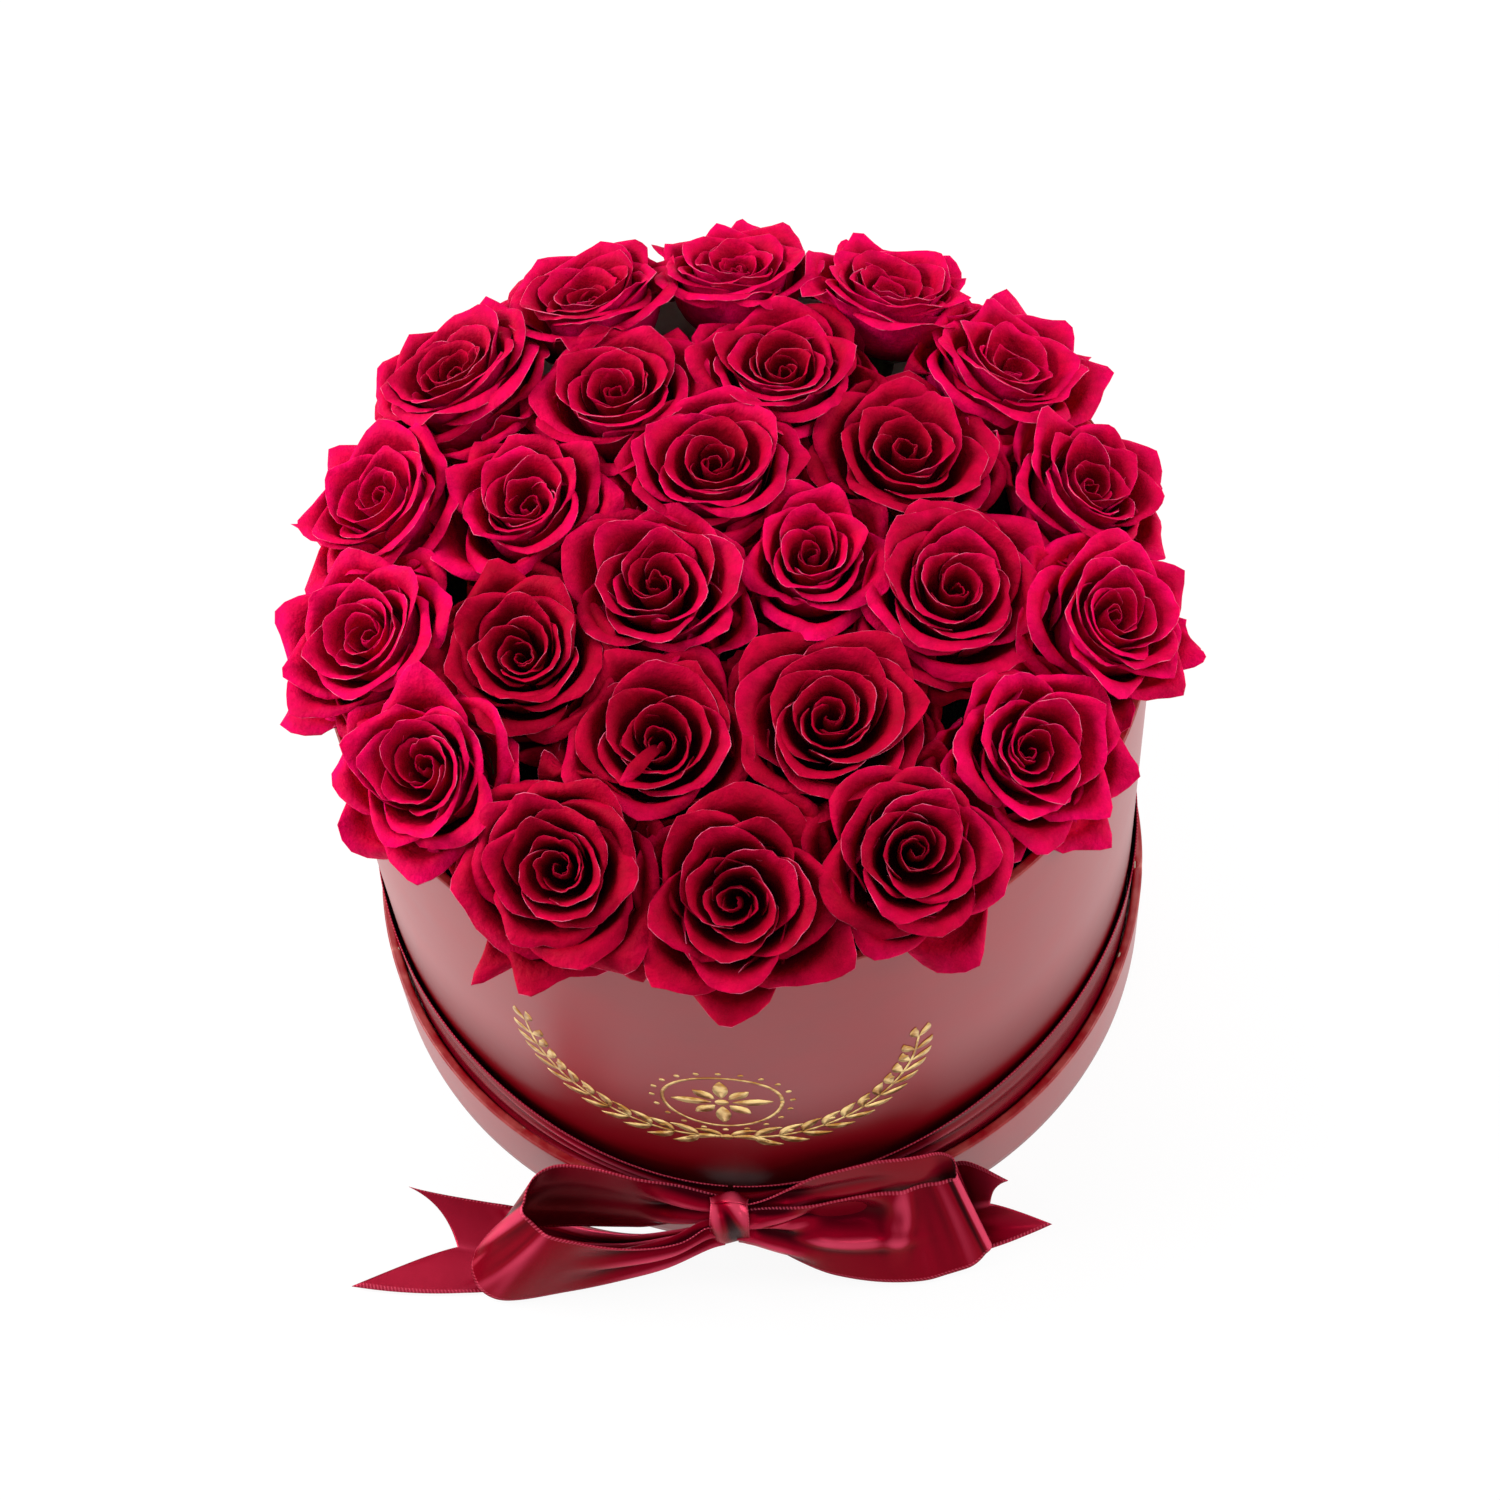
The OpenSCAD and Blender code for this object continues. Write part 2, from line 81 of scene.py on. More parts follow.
def camera_axes():
    """Right, up and forward of the camera."""
    right = Vector((1, 0, 0))
    ahead = Vector((0, math.cos(CAMERA_SLOPE), -math.sin(CAMERA_SLOPE)))
    up = right.cross(ahead)
    ahead = (ahead + CAMERA_TILT * up).normalized()
    up = right.cross(ahead)
    c, s = math.cos(CAMERA_ROLL), math.sin(CAMERA_ROLL)
    right, up = c * right + s * up, c * up - s * right
    spin = Matrix.Rotation(CAMERA_TURN, 3, "Z")
    return spin @ right, spin @ up, spin @ ahead


lens = bpy.data.cameras.new("studio_camera")
lens.lens, lens.sensor_width = LENS, SENSOR
camera = bpy.data.objects.new("studio_camera", lens)
bpy.context.scene.collection.objects.link(camera)
bpy.context.scene.camera = camera
right, up, ahead = camera_axes()
place = Matrix.Rotation(CAMERA_TURN, 3, "Z") @ CAMERA_PLACE
camera.matrix_world = Matrix.Translation(place) @ Matrix((right, up, -ahead)).transposed().to_4x4()
print("camera at", [round(c, 3) for c in place])

# %% [markdown]
# ## Shader maths as plain arithmetic
# A material is a net of nodes. Wiring it by hand is long, so one small class wraps a socket and
# lets Python's own operators add the Math nodes. Any other node comes from its one method,
# `node`.

# %% A socket that can be added and multiplied


class Wire:
    """A socket in a material's net of nodes. Arithmetic on it adds Math nodes."""

    def __init__(self, tree, socket=None):
        self.tree, self.socket = tree, socket

    def node(self, kind, settings=None, sockets=None, out=0):
        """Adds a node: its settings first, then the values or wires of its sockets."""
        made = self.tree.nodes.new(kind)
        for name, value in (settings or {}).items():
            if name == "stops":
                for extra in range(len(value) - 2):
                    made.color_ramp.elements.new(0.5)
                for stop, (spot, colour) in zip(made.color_ramp.elements, value):
                    stop.position, stop.color = spot, colour
            else:
                setattr(made, name, value)
        for name, value in (sockets or {}).items():
            if isinstance(value, Wire):
                self.tree.links.new(value.socket, made.inputs[name])
            else:
                made.inputs[name].default_value = value
        return Wire(self.tree, made.outputs[out])

    def maths(self, operation, *terms):
        return self.node("ShaderNodeMath", {"operation": operation}, dict(enumerate(terms)))

    def __add__(self, other): return self.maths("ADD", self, other)
    def __radd__(self, other): return self.maths("ADD", other, self)
    def __sub__(self, other): return self.maths("SUBTRACT", self, other)
    def __rsub__(self, other): return self.maths("SUBTRACT", other, self)
    def __mul__(self, other): return self.maths("MULTIPLY", self, other)
    def __rmul__(self, other): return self.maths("MULTIPLY", other, self)


print("wire ready")

# %% Helpers for colours, patterns and steps


def blended(wire, share, first, second):
    """A colour between two colours, by share."""
    return wire.node("ShaderNodeMix", {"data_type": "RGBA"}, {0: share, 6: first, 7: second}, out=2)


def eased(wire, value, low, high):
    """0 below low, 1 above high and a smooth step between."""
    return wire.node("ShaderNodeMapRange", {"interpolation_type": "SMOOTHSTEP"},
                     {0: value, 1: low, 2: high, 3: 0.0, 4: 1.0})


def on_object(wire):
    """Where a point lies on its piece, in metres."""
    return wire.node("ShaderNodeTexCoord", out=3)


def clouds(wire, size, detail=3.0, stretch=(1, 1, 1), rough=0.5):
    """Soft noise from 0 to 1, with patches about size metres across."""
    scaled = wire.node("ShaderNodeMapping", {}, {"Vector": on_object(wire), "Scale": stretch})
    return wire.node("ShaderNodeTexNoise", {}, {"Vector": scaled, "Scale": 1 / size,
                                                "Detail": detail, "Roughness": rough})


def bumped(wire, height, depth):
    """A normal that is raised by height times depth, in metres."""
    return wire.node("ShaderNodeBump", {}, {"Height": height, "Distance": depth, "Strength": 1.0})


def finish_of(name, **constants):
    """A new material, its first wire and its shader, with plain values on the shader's sockets."""
    material = bpy.data.materials.new(name)
    material.use_nodes = True
    shader = material.node_tree.nodes["Principled BSDF"]
    for socket, value in constants.items():
        shader.inputs[socket.replace("_", " ")].default_value = value
    return material, Wire(material.node_tree), shader


def feed(wire, shader, **values):
    """Links wires to the shader's sockets."""
    for socket, value in values.items():
        wire.tree.links.new(value.socket, shader.inputs[socket.replace("_", " ")])


def rgb(red, green, blue):
    """A colour from its 0 to 255 screen values."""
    def linear(c):
        c /= 255
        return c / 12.92 if c <= 0.04045 else ((c + 0.055) / 1.055) ** 2.4
    return (linear(red), linear(green), linear(blue), 1.0)


print("a screen red of 180 is", round(rgb(180, 0, 50)[0], 3))

# %% [markdown]
# ## Laminated paper
# The covering is smooth paper, printed burgundy and laminated with a satin film. The film gives
# it a broad, soft reflection, which is strongest where the wall is seen at a low angle, so a
# clear coat over a rougher base is the right shader. Its colour is nearly even. What makes it
# paper is the faint mottle under the film and the paler line where the film is worn along a fold.
# Just above the ribbon the colour is painted darker, as shade, and the film is duller there.

# %% Burgundy paper
burgundy_paper, w, shader = finish_of(
    "burgundy_laminated_paper", Roughness=0.42, Coat_Weight=0.7, Coat_Roughness=0.30, Coat_IOR=1.4,
    Specular_IOR_Level=0.05)
height = w.node("ShaderNodeSeparateXYZ", {}, {0: on_object(w)}, out=2)
worn = w.node("ShaderNodeAttribute", {"attribute_name": "worn"}, out=2)
mottle = clouds(w, 0.012, 4)
paper_colour = blended(w, mottle, rgb(136, 2, 16), rgb(152, 4, 22))
scuff = worn * eased(w, clouds(w, 0.006, 5), 0.35, 0.75)
paper_colour = blended(w, scuff * 0.8, paper_colour, rgb(205, 120, 110))
grain = clouds(w, 0.0009, 2)
# Painted shade: darker from the lid's rim up past the ribbon, fading out higher up, with a thinner
# coat there.
low_wall_shade = eased(w, height, 0.029, 0.031) * (1 - eased(w, height, 0.060, 0.108))
paper_colour = blended(w, low_wall_shade * 0.75, paper_colour, rgb(98, 2, 12))
feed(w, shader, Base_Color=paper_colour, Roughness=0.36 + mottle * 0.1,
     Coat_Weight=0.7 - low_wall_shade * 0.5, Normal=bumped(w, grain + mottle * 3, 0.00002))
print(burgundy_paper.name)

# %% [markdown]
# ## Card, foam and greenery
# Under the paper there is grey board pressed from pulp, and the heads stand on short stems in dry
# floral foam. All of it is matt and mostly hidden, so none needs a coat or an image. One pattern
# each is enough for the board, the foam and the green, and it drives both the colour and the
# relief, because on them what is darker is also deeper: between the pulp's fibres, in the foam's
# cells and along the veins. The lining paper is smoother, so its mottle and its grain are two
# patterns.

# %% Pale lining paper, grey card and foam


def mottled(name, pattern, dark, light, depth, **constants):
    """A finish whose colour and relief both follow one pattern."""
    material, wire, shader = finish_of(name, **constants)
    spots = pattern(wire)
    feed(wire, shader, Base_Color=blended(wire, spots, dark, light),
         Normal=bumped(wire, spots, depth))
    return material


def foam_cells(wire):
    """The cells of dry foam, under a millimetre across."""
    return wire.node("ShaderNodeTexVoronoi", {}, {"Vector": on_object(wire), "Scale": 1400.0})


lining_paper, w, shader = finish_of("lining_paper", Roughness=0.85)
feed(w, shader, Base_Color=blended(w, clouds(w, 0.003, 5), rgb(232, 224, 210), rgb(244, 239, 228)),
     Normal=bumped(w, clouds(w, 0.0006, 3), 0.00003))
grey_card = mottled("grey_card", lambda wire: clouds(wire, 0.002, 6, (1, 1, 6)),
                    rgb(150, 138, 118), rgb(188, 176, 152), 0.0001, Roughness=0.95)
# Painted shade: the foam's dark green is made nearly black, as the shade in the gaps between the
# roses.
dry_foam = mottled("dry_foam", foam_cells, rgb(16, 20, 12), rgb(34, 40, 26), 0.0004, Roughness=1.0)
print(lining_paper.name, grey_card.name, dry_foam.name)

# %% Green stems and sepals
stem_green = mottled("stem_green", lambda wire: clouds(wire, 0.004, 4, (4, 4, 0.6)),
                     rgb(58, 76, 30), rgb(104, 122, 56), 0.0003, Roughness=0.6)
sepal_green = mottled("sepal_green", lambda wire: clouds(wire, 0.0015, 5),
                      rgb(40, 62, 26), rgb(84, 104, 44), 0.0002, Roughness=0.7, Sheen_Weight=0.2)
print(stem_green.name, sepal_green.name)

# %% Put the finishes on the solids that stay as they are
KEPT = {
    "lid_cover_paper": burgundy_paper, "box_foot_paper": burgundy_paper,
    "lid_floor_paper": lining_paper, "box_lining": lining_paper,
    "lid_disc": grey_card, "lid_wall": grey_card, "box_base": grey_card, "box_wall": grey_card,
    "foam_block": dry_foam, "rose_stems": stem_green, "rose_calyxes": sepal_green,
}
for node, material in KEPT.items():
    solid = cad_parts[node].data
    solid.materials.clear()
    solid.materials.append(material)
print(len(KEPT), "solids dressed")

# %% [markdown]
# ## From a grid of points to a mesh
# Every new piece here is a sheet or a skin, so it starts as a grid of points. `skin` joins the
# neighbours of a grid into quads and can close it in either direction. `piece` turns points and
# quads into an object that rides on its part of the model. Numbers kept at the points, such as
# wear, reach the materials by name.

# %% Grid and piece helpers


def skin(rows, columns, wrap_rows=False, wrap_columns=False, start=0):
    """Quads of a grid of points that is stored row by row."""
    i = np.arange(rows if wrap_rows else rows - 1)
    j = np.arange(columns if wrap_columns else columns - 1)
    i, j = (a.ravel() for a in np.meshgrid(i, j, indexing="ij"))
    ahead, beside = (i + 1) % rows, (j + 1) % columns
    return start + np.stack([i * columns + j, ahead * columns + j, ahead * columns + beside,
                             i * columns + beside], -1)


def piece(name, points, quads, material, body, replaces=(), values=None):
    """An object from points in metres and quads, with its finish and the body it rides on."""
    mesh = bpy.data.meshes.new(name)
    mesh.from_pydata(points.tolist(), [], quads.tolist())
    mesh.validate()
    for label, numbers in (values or {}).items():
        kind = "FLOAT_COLOR" if numbers.ndim == 2 else "FLOAT"
        layer = mesh.attributes.new(label, kind, "POINT")
        layer.data.foreach_set("color" if kind == "FLOAT_COLOR" else "value",
                               numbers.astype(np.float32).ravel())
    mesh.shade_smooth()
    mesh.materials.append(material)
    made = bpy.data.objects.new(name, mesh)
    bpy.context.scene.collection.objects.link(made)
    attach(made, body)
    if replaces:
        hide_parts(*replaces)
    return made


print("a 3 by 3 grid has", len(skin(3, 3)), "quads")

# %% [markdown]
# ## The papers round the walls
# On the real box one strip of paper is glued round the card, folded over the rim and turned in.
# The fold isn't sharp: it is as round as the card's edge, and on the narrow lid the turned-in
# paper has to shrink, so it cockles into small creases. A profile swept round the axis gives the
# skin, and the creases are small shifts of the points near the fold.

# %% Profile of a wrapped wall
LID_TURN_IN, BOX_TURN_IN = 16 * MM, 14 * MM        # how far the paper is turned in under the rim


def fold_profile(r_in, r_out, low, rim, turn_in, fold=0.7 * MM, steps=5):
    """Closed outline of the paper as (radius, height, wear), from its foot up and over the rim."""
    bend_low = rim - fold - 1.0 * MM               # where the straight sides end
    outside = [(r_out, z, 0.0) for z in np.linspace(low, bend_low, 12)]
    bends = []
    for middle, first, last in ((r_out - fold, 0, 90), (r_in + fold, 90, 180)):
        for angle in np.radians(np.linspace(first, last, steps)):
            bends.append((middle + fold * math.cos(angle),
                          rim - fold + fold * math.sin(angle), 1.0))
    inside = [(r_in, z, 0.0) for z in np.linspace(bend_low, rim - turn_in, 8)]
    under = [(r - PAPER, z, 0.0) for r, z, _ in outside]
    back = [(r_in + PAPER, z, 0.0) for z in np.linspace(rim - turn_in, rim - fold - PAPER, 6)]
    top = [(r_in + fold + PAPER, rim - PAPER, 0.0), (r_out - fold - PAPER, rim - PAPER, 0.0)]
    return np.array(outside + bends + inside + back + top + under[::-1])


outline = fold_profile(LID_IN_R, LID_R, 0, LID_H, LID_TURN_IN)
print("points in the lid's outline:", len(outline))

# %% Sweep the papers round the walls
AROUND = 720


def wrapped_wall(name, node, body, r_in, r_out, low, rim, turn_in, cockle, seed):
    """The paper round one wall, with creases of about cockle metres near the fold. It also waves in
    and out a little all the way round, as glued paper does."""
    shape = fold_profile(r_in, r_out, low, rim, turn_in)
    rng = np.random.default_rng(seed)
    turn = np.linspace(0, 2 * math.pi, AROUND, endpoint=False)
    waves = sum(rng.uniform(0.4, 1) * np.sin(turn * n + rng.uniform(0, 6.28))
                for n in (23, 41, 67, 97, 139)) / 3
    pinch = np.clip(waves, 0, None) ** 2
    near_rim = np.exp(-((rim - shape[:, 1]) / (3.5 * MM)) ** 2)
    inner_side = shape[:, 0] < (r_in + r_out) / 2
    lift = cockle * near_rim * (0.5 + inner_side)
    r = shape[None, :, 0] - 0.35 * pinch[:, None] * lift * np.where(inner_side, 0.4, 0.5)
    z = shape[None, :, 1] - 0.6 * pinch[:, None] * lift * (shape[:, 2] > 0)
    soft = 0.06 * MM * np.sin(turn * 5 + seed) + 0.04 * MM * np.sin(turn * 11 + 2 * seed)
    r = r + np.minimum(soft, 0)[:, None] * (shape[:, 0] > r_out - PAPER - 1e-6)
    points = np.stack([r * np.sin(turn)[:, None], -r * np.cos(turn)[:, None], z], -1)
    worn = np.repeat(shape[None, :, 2], AROUND, 0) * (0.35 + 0.65 * pinch[:, None].clip(0, 1))
    return piece(name, points.reshape(-1, 3), skin(AROUND, len(shape), True, True)[:, ::-1],
                 burgundy_paper, body, [node], {"worn": worn.ravel()})


lid_paper = wrapped_wall("lid_paper", "lid_wrap", "lid", LID_IN_R, LID_R, 0, LID_H,
                         LID_TURN_IN, 0.5 * MM, 4)
box_paper = wrapped_wall("box_paper", "box_wrap", "box", INNER_R, BOX_R, BOX_FOOT, RIM_Z,
                         BOX_TURN_IN, 0.2 * MM, 9)
print(lid_paper.name, len(lid_paper.data.polygons), box_paper.name, len(box_paper.data.polygons))

# %% [markdown]
# ## Velvet of a preserved petal
# A preserved petal is matt and velvety, crimson on its face and magenta on its back. Deep in the
# cup its colour is painted nearly black, as shade, and at its lip painted brighter magenta, as a
# highlight. Its torn-thin edge shows as a fine pale line, partly painted highlight on the rolled
# rim. Each petal carries four numbers per point for this: which side it is, how far along the
# petal, how light the petal is, and whether it is on the edge. The light ones get the painted
# shade only at their foot, the dark ones almost to the lip.

# %% Petal finish


def carried(wire, name):
    """The first three of the four numbers that each point of a piece carries under a name."""
    colour = wire.node("ShaderNodeAttribute", {"attribute_name": name})
    return [wire.node("ShaderNodeSeparateColor", {}, {0: colour}, out=k) for k in range(3)]


petal_velvet, w, shader = finish_of("petal_velvet", Roughness=0.6, Specular_IOR_Level=0.03)
side, along, light = carried(w, "petal")
edge = w.node("ShaderNodeAttribute", {"attribute_name": "petal"}, out=3)
patches = eased(w, clouds(w, 0.008, 3), 0.3, 0.7)
face = blended(w, light, rgb(146, 0, 25), rgb(210, 0, 54))
face = blended(w, patches * 0.35, face, rgb(112, 0, 20))
# Painted highlight: the lip is brighter magenta than the face.
lip_highlight = blended(w, light, rgb(204, 0, 56), rgb(248, 0, 98))
inner = blended(w, eased(w, along, 0.72, 1.0) * (0.45 + patches * 0.5), face, lip_highlight)
reverse = blended(w, light * (0.6 + patches * 0.4), rgb(150, 0, 36), rgb(232, 0, 98))
petal_colour = blended(w, 1 - side, inner, reverse)
# Painted shade deep in the cup: dark at the petal's foot, reaching nearer the lip on the darker
# petals.
clear_of_cup_shade = along + light * 0.22
petal_colour = blended(w, eased(w, clear_of_cup_shade, 0.12, 0.86), rgb(92, 0, 19), petal_colour)
# A fine pale edge line: partly the torn thin edge, partly a painted highlight on the rolled rim.
torn_edge_and_highlight = eased(w, edge, 0.40, 1.0) * (0.06 + eased(w, clouds(w, 0.006, 4), 0.46, 0.62))
petal_colour = blended(w, w.maths("MINIMUM", torn_edge_and_highlight, 1.0) * 0.9, petal_colour, rgb(248, 118, 156))
fibre = clouds(w, 0.0012, 3)
crumple = clouds(w, 0.0045, 4, rough=0.6)
petal_colour = blended(w, eased(w, crumple, 0.36, 0.64) * 0.27, petal_colour, rgb(84, 0, 16))
feed(w, shader, Base_Color=petal_colour, Roughness=0.55 + patches * 0.15,
     Normal=bumped(w, fibre * 0.12 + crumple, 0.0011))
print(petal_velvet.name)

# %% [markdown]
# ## A rose, petal by petal
# A rose bud is a spiral of petals. Each new petal stands 137.5 degrees further round than the
# last, so no two lie above each other. The oldest are outside: they are wide, open and low, and
# their sides roll under, which leaves the tip as a point. The youngest are furled round the eye.
# So one table that says how a petal looks at each age is enough to grow the whole flower.

# %% What a petal is like at each age, from the eye (0) to the outside (1)
AGES = np.array([0.0, 0.16, 0.36, 0.56, 0.76, 0.9, 1.0])
# Six points of its midline as (distance from the axis, height), in millimetres
MIDLINES = np.array([
    [[0.5, 9], [1.2, 12.5], [1.7, 16], [1.9, 19.0], [1.8, 21.0], [1.5, 22.4]],
    [[1.0, 8], [3.0, 11], [4.2, 15.5], [4.9, 20.0], [5.4, 23.4], [5.8, 25.4]],
    [[1.6, 7], [5.6, 9.5], [7.8, 14.5], [9.4, 20.4], [10.8, 25.4], [12.2, 28.4]],
    [[2.2, 6], [8.4, 8.0], [11.6, 13.0], [13.8, 19.5], [15.8, 25.6], [18.3, 28.7]],
    [[2.8, 4.5], [11.2, 6.0], [15.2, 11.0], [17.8, 17.6], [20.2, 24.0], [23.6, 26.0]],
    [[3.2, 3.5], [13.2, 4.4], [18.0, 8.6], [21.0, 14.6], [23.8, 20.0], [27.9, 21.2]],
    [[3.4, 3], [14.4, 3.6], [19.6, 6.4], [23.6, 11.0], [26.8, 14.8], [31.0, 14.8]],
])
AT_AGE = {
    "half_span": [150, 118, 96, 84, 76, 70, 64],           # degrees to each side of the middle
    "point": [0.04, 0.10, 0.16, 0.21, 0.25, 0.28, 0.29],   # how much nearer the axis its sides are
    "side_drop": [0.5, 1.4, 2.8, 4.4, 5.6, 6.0, 6.0],      # fall of the lip towards its sides
    "roll": [0.0, 0.3, 0.9, 1.5, 2.0, 2.2, 2.2],           # how far the side margins roll under
    "ruffle": [0.35, 0.35, 0.45, 0.65, 0.9, 1.15, 1.4],    # height of the waves in its lip
    "tuck": [0.35, 0.20, 0.12, 0.09, 0.07, 0.05, 0.04],    # how far one side spirals inwards
}
ACROSS = np.array([-1, -.98, -.92, -.82, -.7, -.57, -.44, -.32, -.21, -.10, 0,
                   .10, .21, .32, .44, .57, .7, .82, .92, .98, 1])
ALONG = np.array([0, .12, .24, .36, .46, .55, .63, .70, .76, .82, .87, .91, .95, .98, 1])
print("a petal has", len(ACROSS) * len(ALONG), "points on each side")

# %% The surface of one petal


def spline(a, b, c, d, t):
    """The point at t from 0 to 1 of a smooth curve from b to c, with a before it and d after it."""
    return 0.5 * (2 * b + (c - a) * t + (2 * a - 5 * b + 4 * c - d) * t ** 2
                  + (3 * b - a - 3 * c + d) * t ** 3)


def smooth_line(points, t):
    """A smooth curve through the points of each line, at t from 0 to 1."""
    last = points.shape[-2] - 1
    x = np.clip(t * last, 0, last - 1e-6)
    i, f = x.astype(int), (x - x.astype(int))[..., None]

    def at(k):
        spot = np.clip(k, 0, last)[..., None, None].repeat(2, -1)
        return np.take_along_axis(points, spot, axis=-2)[..., 0, :]

    return spline(at(i - 1), at(i), at(i + 1), at(i + 2), f)


def petal_surface(age, turn, rng, hand, habit):
    """Points (across, along, xyz) of a petal's middle surface, in mm. habit scales its traits."""
    trait = {name: np.interp(age, AGES, values) * habit.get(name, 1)
             for name, values in AT_AGE.items()}
    midline = np.array([[np.interp(age, AGES, MIDLINES[:, p, c]) for c in (0, 1)]
                        for p in range(MIDLINES.shape[1])])
    lines = np.repeat(midline[None], len(ACROSS), 0)
    lean = rng.uniform(-0.25, 0.25)
    out = np.abs(ACROSS - lean * (1 - ACROSS ** 2))
    narrowing = trait["point"] * rng.uniform(0.7, 1.3) * out ** 1.25
    for p, share in ((2, 0.3), (3, 0.6), (4, 0.9), (5, 1.0)):
        lines[:, p, 0] *= 1 - narrowing * share
    drop = trait["side_drop"] * rng.uniform(0.6, 1.4) * out ** 1.3
    roll = trait["roll"] * rng.uniform(0.6, 1.3) * np.sin(math.pi * np.clip(out, 0, 1) ** 0.8)
    tip = np.exp(-np.abs((ACROSS - lean) / 0.17) ** 1.4) * age
    kinks = np.linspace(-1, 1, 8) + rng.uniform(-0.1, 0.1, 8)
    waves = [sum(rng.uniform(0.2, 0.5) * np.sin(ACROSS * f + rng.uniform(0, 6.3)) for f in pitches)
             + np.interp(ACROSS, kinks, rng.uniform(-1.1, 1.1, 8))
             for pitches in ((3.4, 7.1), (4.3, 8.4))]
    lines[:, 4, 1] -= 0.8 * drop
    lines[:, 4, 0] += 0.5 * trait["ruffle"] * waves[1]
    lines[:, 5, 1] += -drop - roll + tip * rng.uniform(-1.0, 0.8) + trait["ruffle"] * waves[0]
    lines[:, 5, 0] += tip * rng.uniform(0.5, 3.0) + trait["ruffle"] * waves[1]
    nick = rng.uniform(0, 0.08) * np.exp(-((ACROSS - rng.uniform(-0.8, 0.8)) / 0.05) ** 2)
    reach = (1 - 0.16 * np.abs(ACROSS) ** 4 - nick)[:, None] * ALONG
    r, z = np.moveaxis(smooth_line(lines[:, None].repeat(len(ALONG), 1), reach), -1, 0)
    creases = sum(np.sin(ACROSS * f + rng.uniform(0, 6.3)) for f in (9, 15.5, 24)) * 0.09
    r = r * (1 + hand * trait["tuck"] * ACROSS[:, None]) + creases[:, None] * ALONG
    width = np.interp(ALONG, [0, 0.3, 0.6, 0.85, 1], [0.75, 0.95, 1.0, 0.95, 0.82])
    angle = turn + ACROSS[:, None] * math.radians(trait["half_span"]) * width
    return np.stack([r * np.cos(angle), r * np.sin(angle), z], -1)


def curled_petal(turn, half_width=1.7):
    """Points of the narrow petal that some blooms put out from the eye, curled along its length."""
    spine = np.array([[0.6, 17], [2.4, 22], [6, 26.4], [10, 27.6], [14.5, 26.4]])
    path = smooth_line(spine[None].repeat(len(ALONG), 0), ALONG)
    wide = half_width * np.interp(ALONG, [0, 0.3, 0.75, 1], [0.5, 0.75, 1.0, 0.35])
    bend = ACROSS[:, None] * 1.5
    r, z = path[:, 0] + 0 * bend, path[:, 1] - wide * (1 - np.cos(bend)) * 0.8
    sideways = wide * np.sin(bend) + 1.6 * np.sin(ALONG * 2.4)
    return np.stack([r * math.cos(turn) - sideways * math.sin(turn),
                     r * math.sin(turn) + sideways * math.cos(turn), z], -1)


sample = petal_surface(1.0, 0, np.random.default_rng(1), 1, {})
print("an outer petal reaches", round(float(np.hypot(*sample[..., :2].T).max()), 1), "mm")

# %% [markdown]
# ## Two faces and an edge
# A petal, a strip of ribbon and a leaf of foil are all thin sheets with two faces. A Solidify
# modifier could thicken them, but the finish has to know one face from the other, so the two
# grids are made here, a hair apart, and joined along their border. A petal thins towards its
# edge.

# %% Give a petal its thickness


def normals_of(surface):
    """The direction that each point of a grid faces."""
    normal = np.cross(np.gradient(surface, axis=0), np.gradient(surface, axis=1))
    return normal / np.maximum(np.linalg.norm(normal, axis=-1, keepdims=True), 1e-9)


def two_faced(front, back):
    """Points and quads of a closed sheet from the grids of its two faces."""
    rows, columns = front.shape[:2]
    count = rows * columns
    grid = np.arange(count).reshape(rows, columns)
    ring = np.concatenate([grid[:, 0], grid[-1, 1:], grid[-2::-1, -1], grid[0, -2:0:-1]])
    onward = np.roll(ring, -1)
    rim = np.stack([ring, ring + count, onward + count, onward], -1)
    quads = np.concatenate([skin(rows, columns), skin(rows, columns, start=count)[:, ::-1], rim])
    return np.concatenate([front.reshape(-1, 3), back.reshape(-1, 3)]), quads


def thickened(surface, light):
    """Points and quads of a closed petal, and its four numbers per point."""
    inset = np.minimum(1 - np.abs(ACROSS)[:, None], 1 - ALONG[None, :])
    half = normals_of(surface) * np.interp(inset, [0, 0.1, 1], [0.08, 0.21, 0.25])[..., None]
    edge = (inset <= 0).astype(float)
    edge[:, 0] = 0
    along = np.repeat(ALONG[None], len(surface), 0)
    numbers = [np.stack([edge * 0 + face, along, edge * 0 + light, edge], -1).reshape(-1, 4)
               for face in (0, 1)]
    return *two_faced(surface + half, surface - half), np.concatenate(numbers)


print("a petal has", len(thickened(sample, 0.5)[1]), "quads")

# %% Grow a rose
GOLDEN_ANGLE = 137.5                   # degrees from one petal to the next
TORN = 3                               # ragged, narrow petals outside the last whole one


def joined(parts):
    """One mesh from parts that each give points, quads and perhaps numbers for their points."""
    points, quads, *numbers = zip(*parts)
    starts = np.cumsum([0] + [len(p) for p in points[:-1]])
    moved = [q + start for q, start in zip(quads, starts)]
    return [np.concatenate(group) for group in (points, moved, *numbers)]


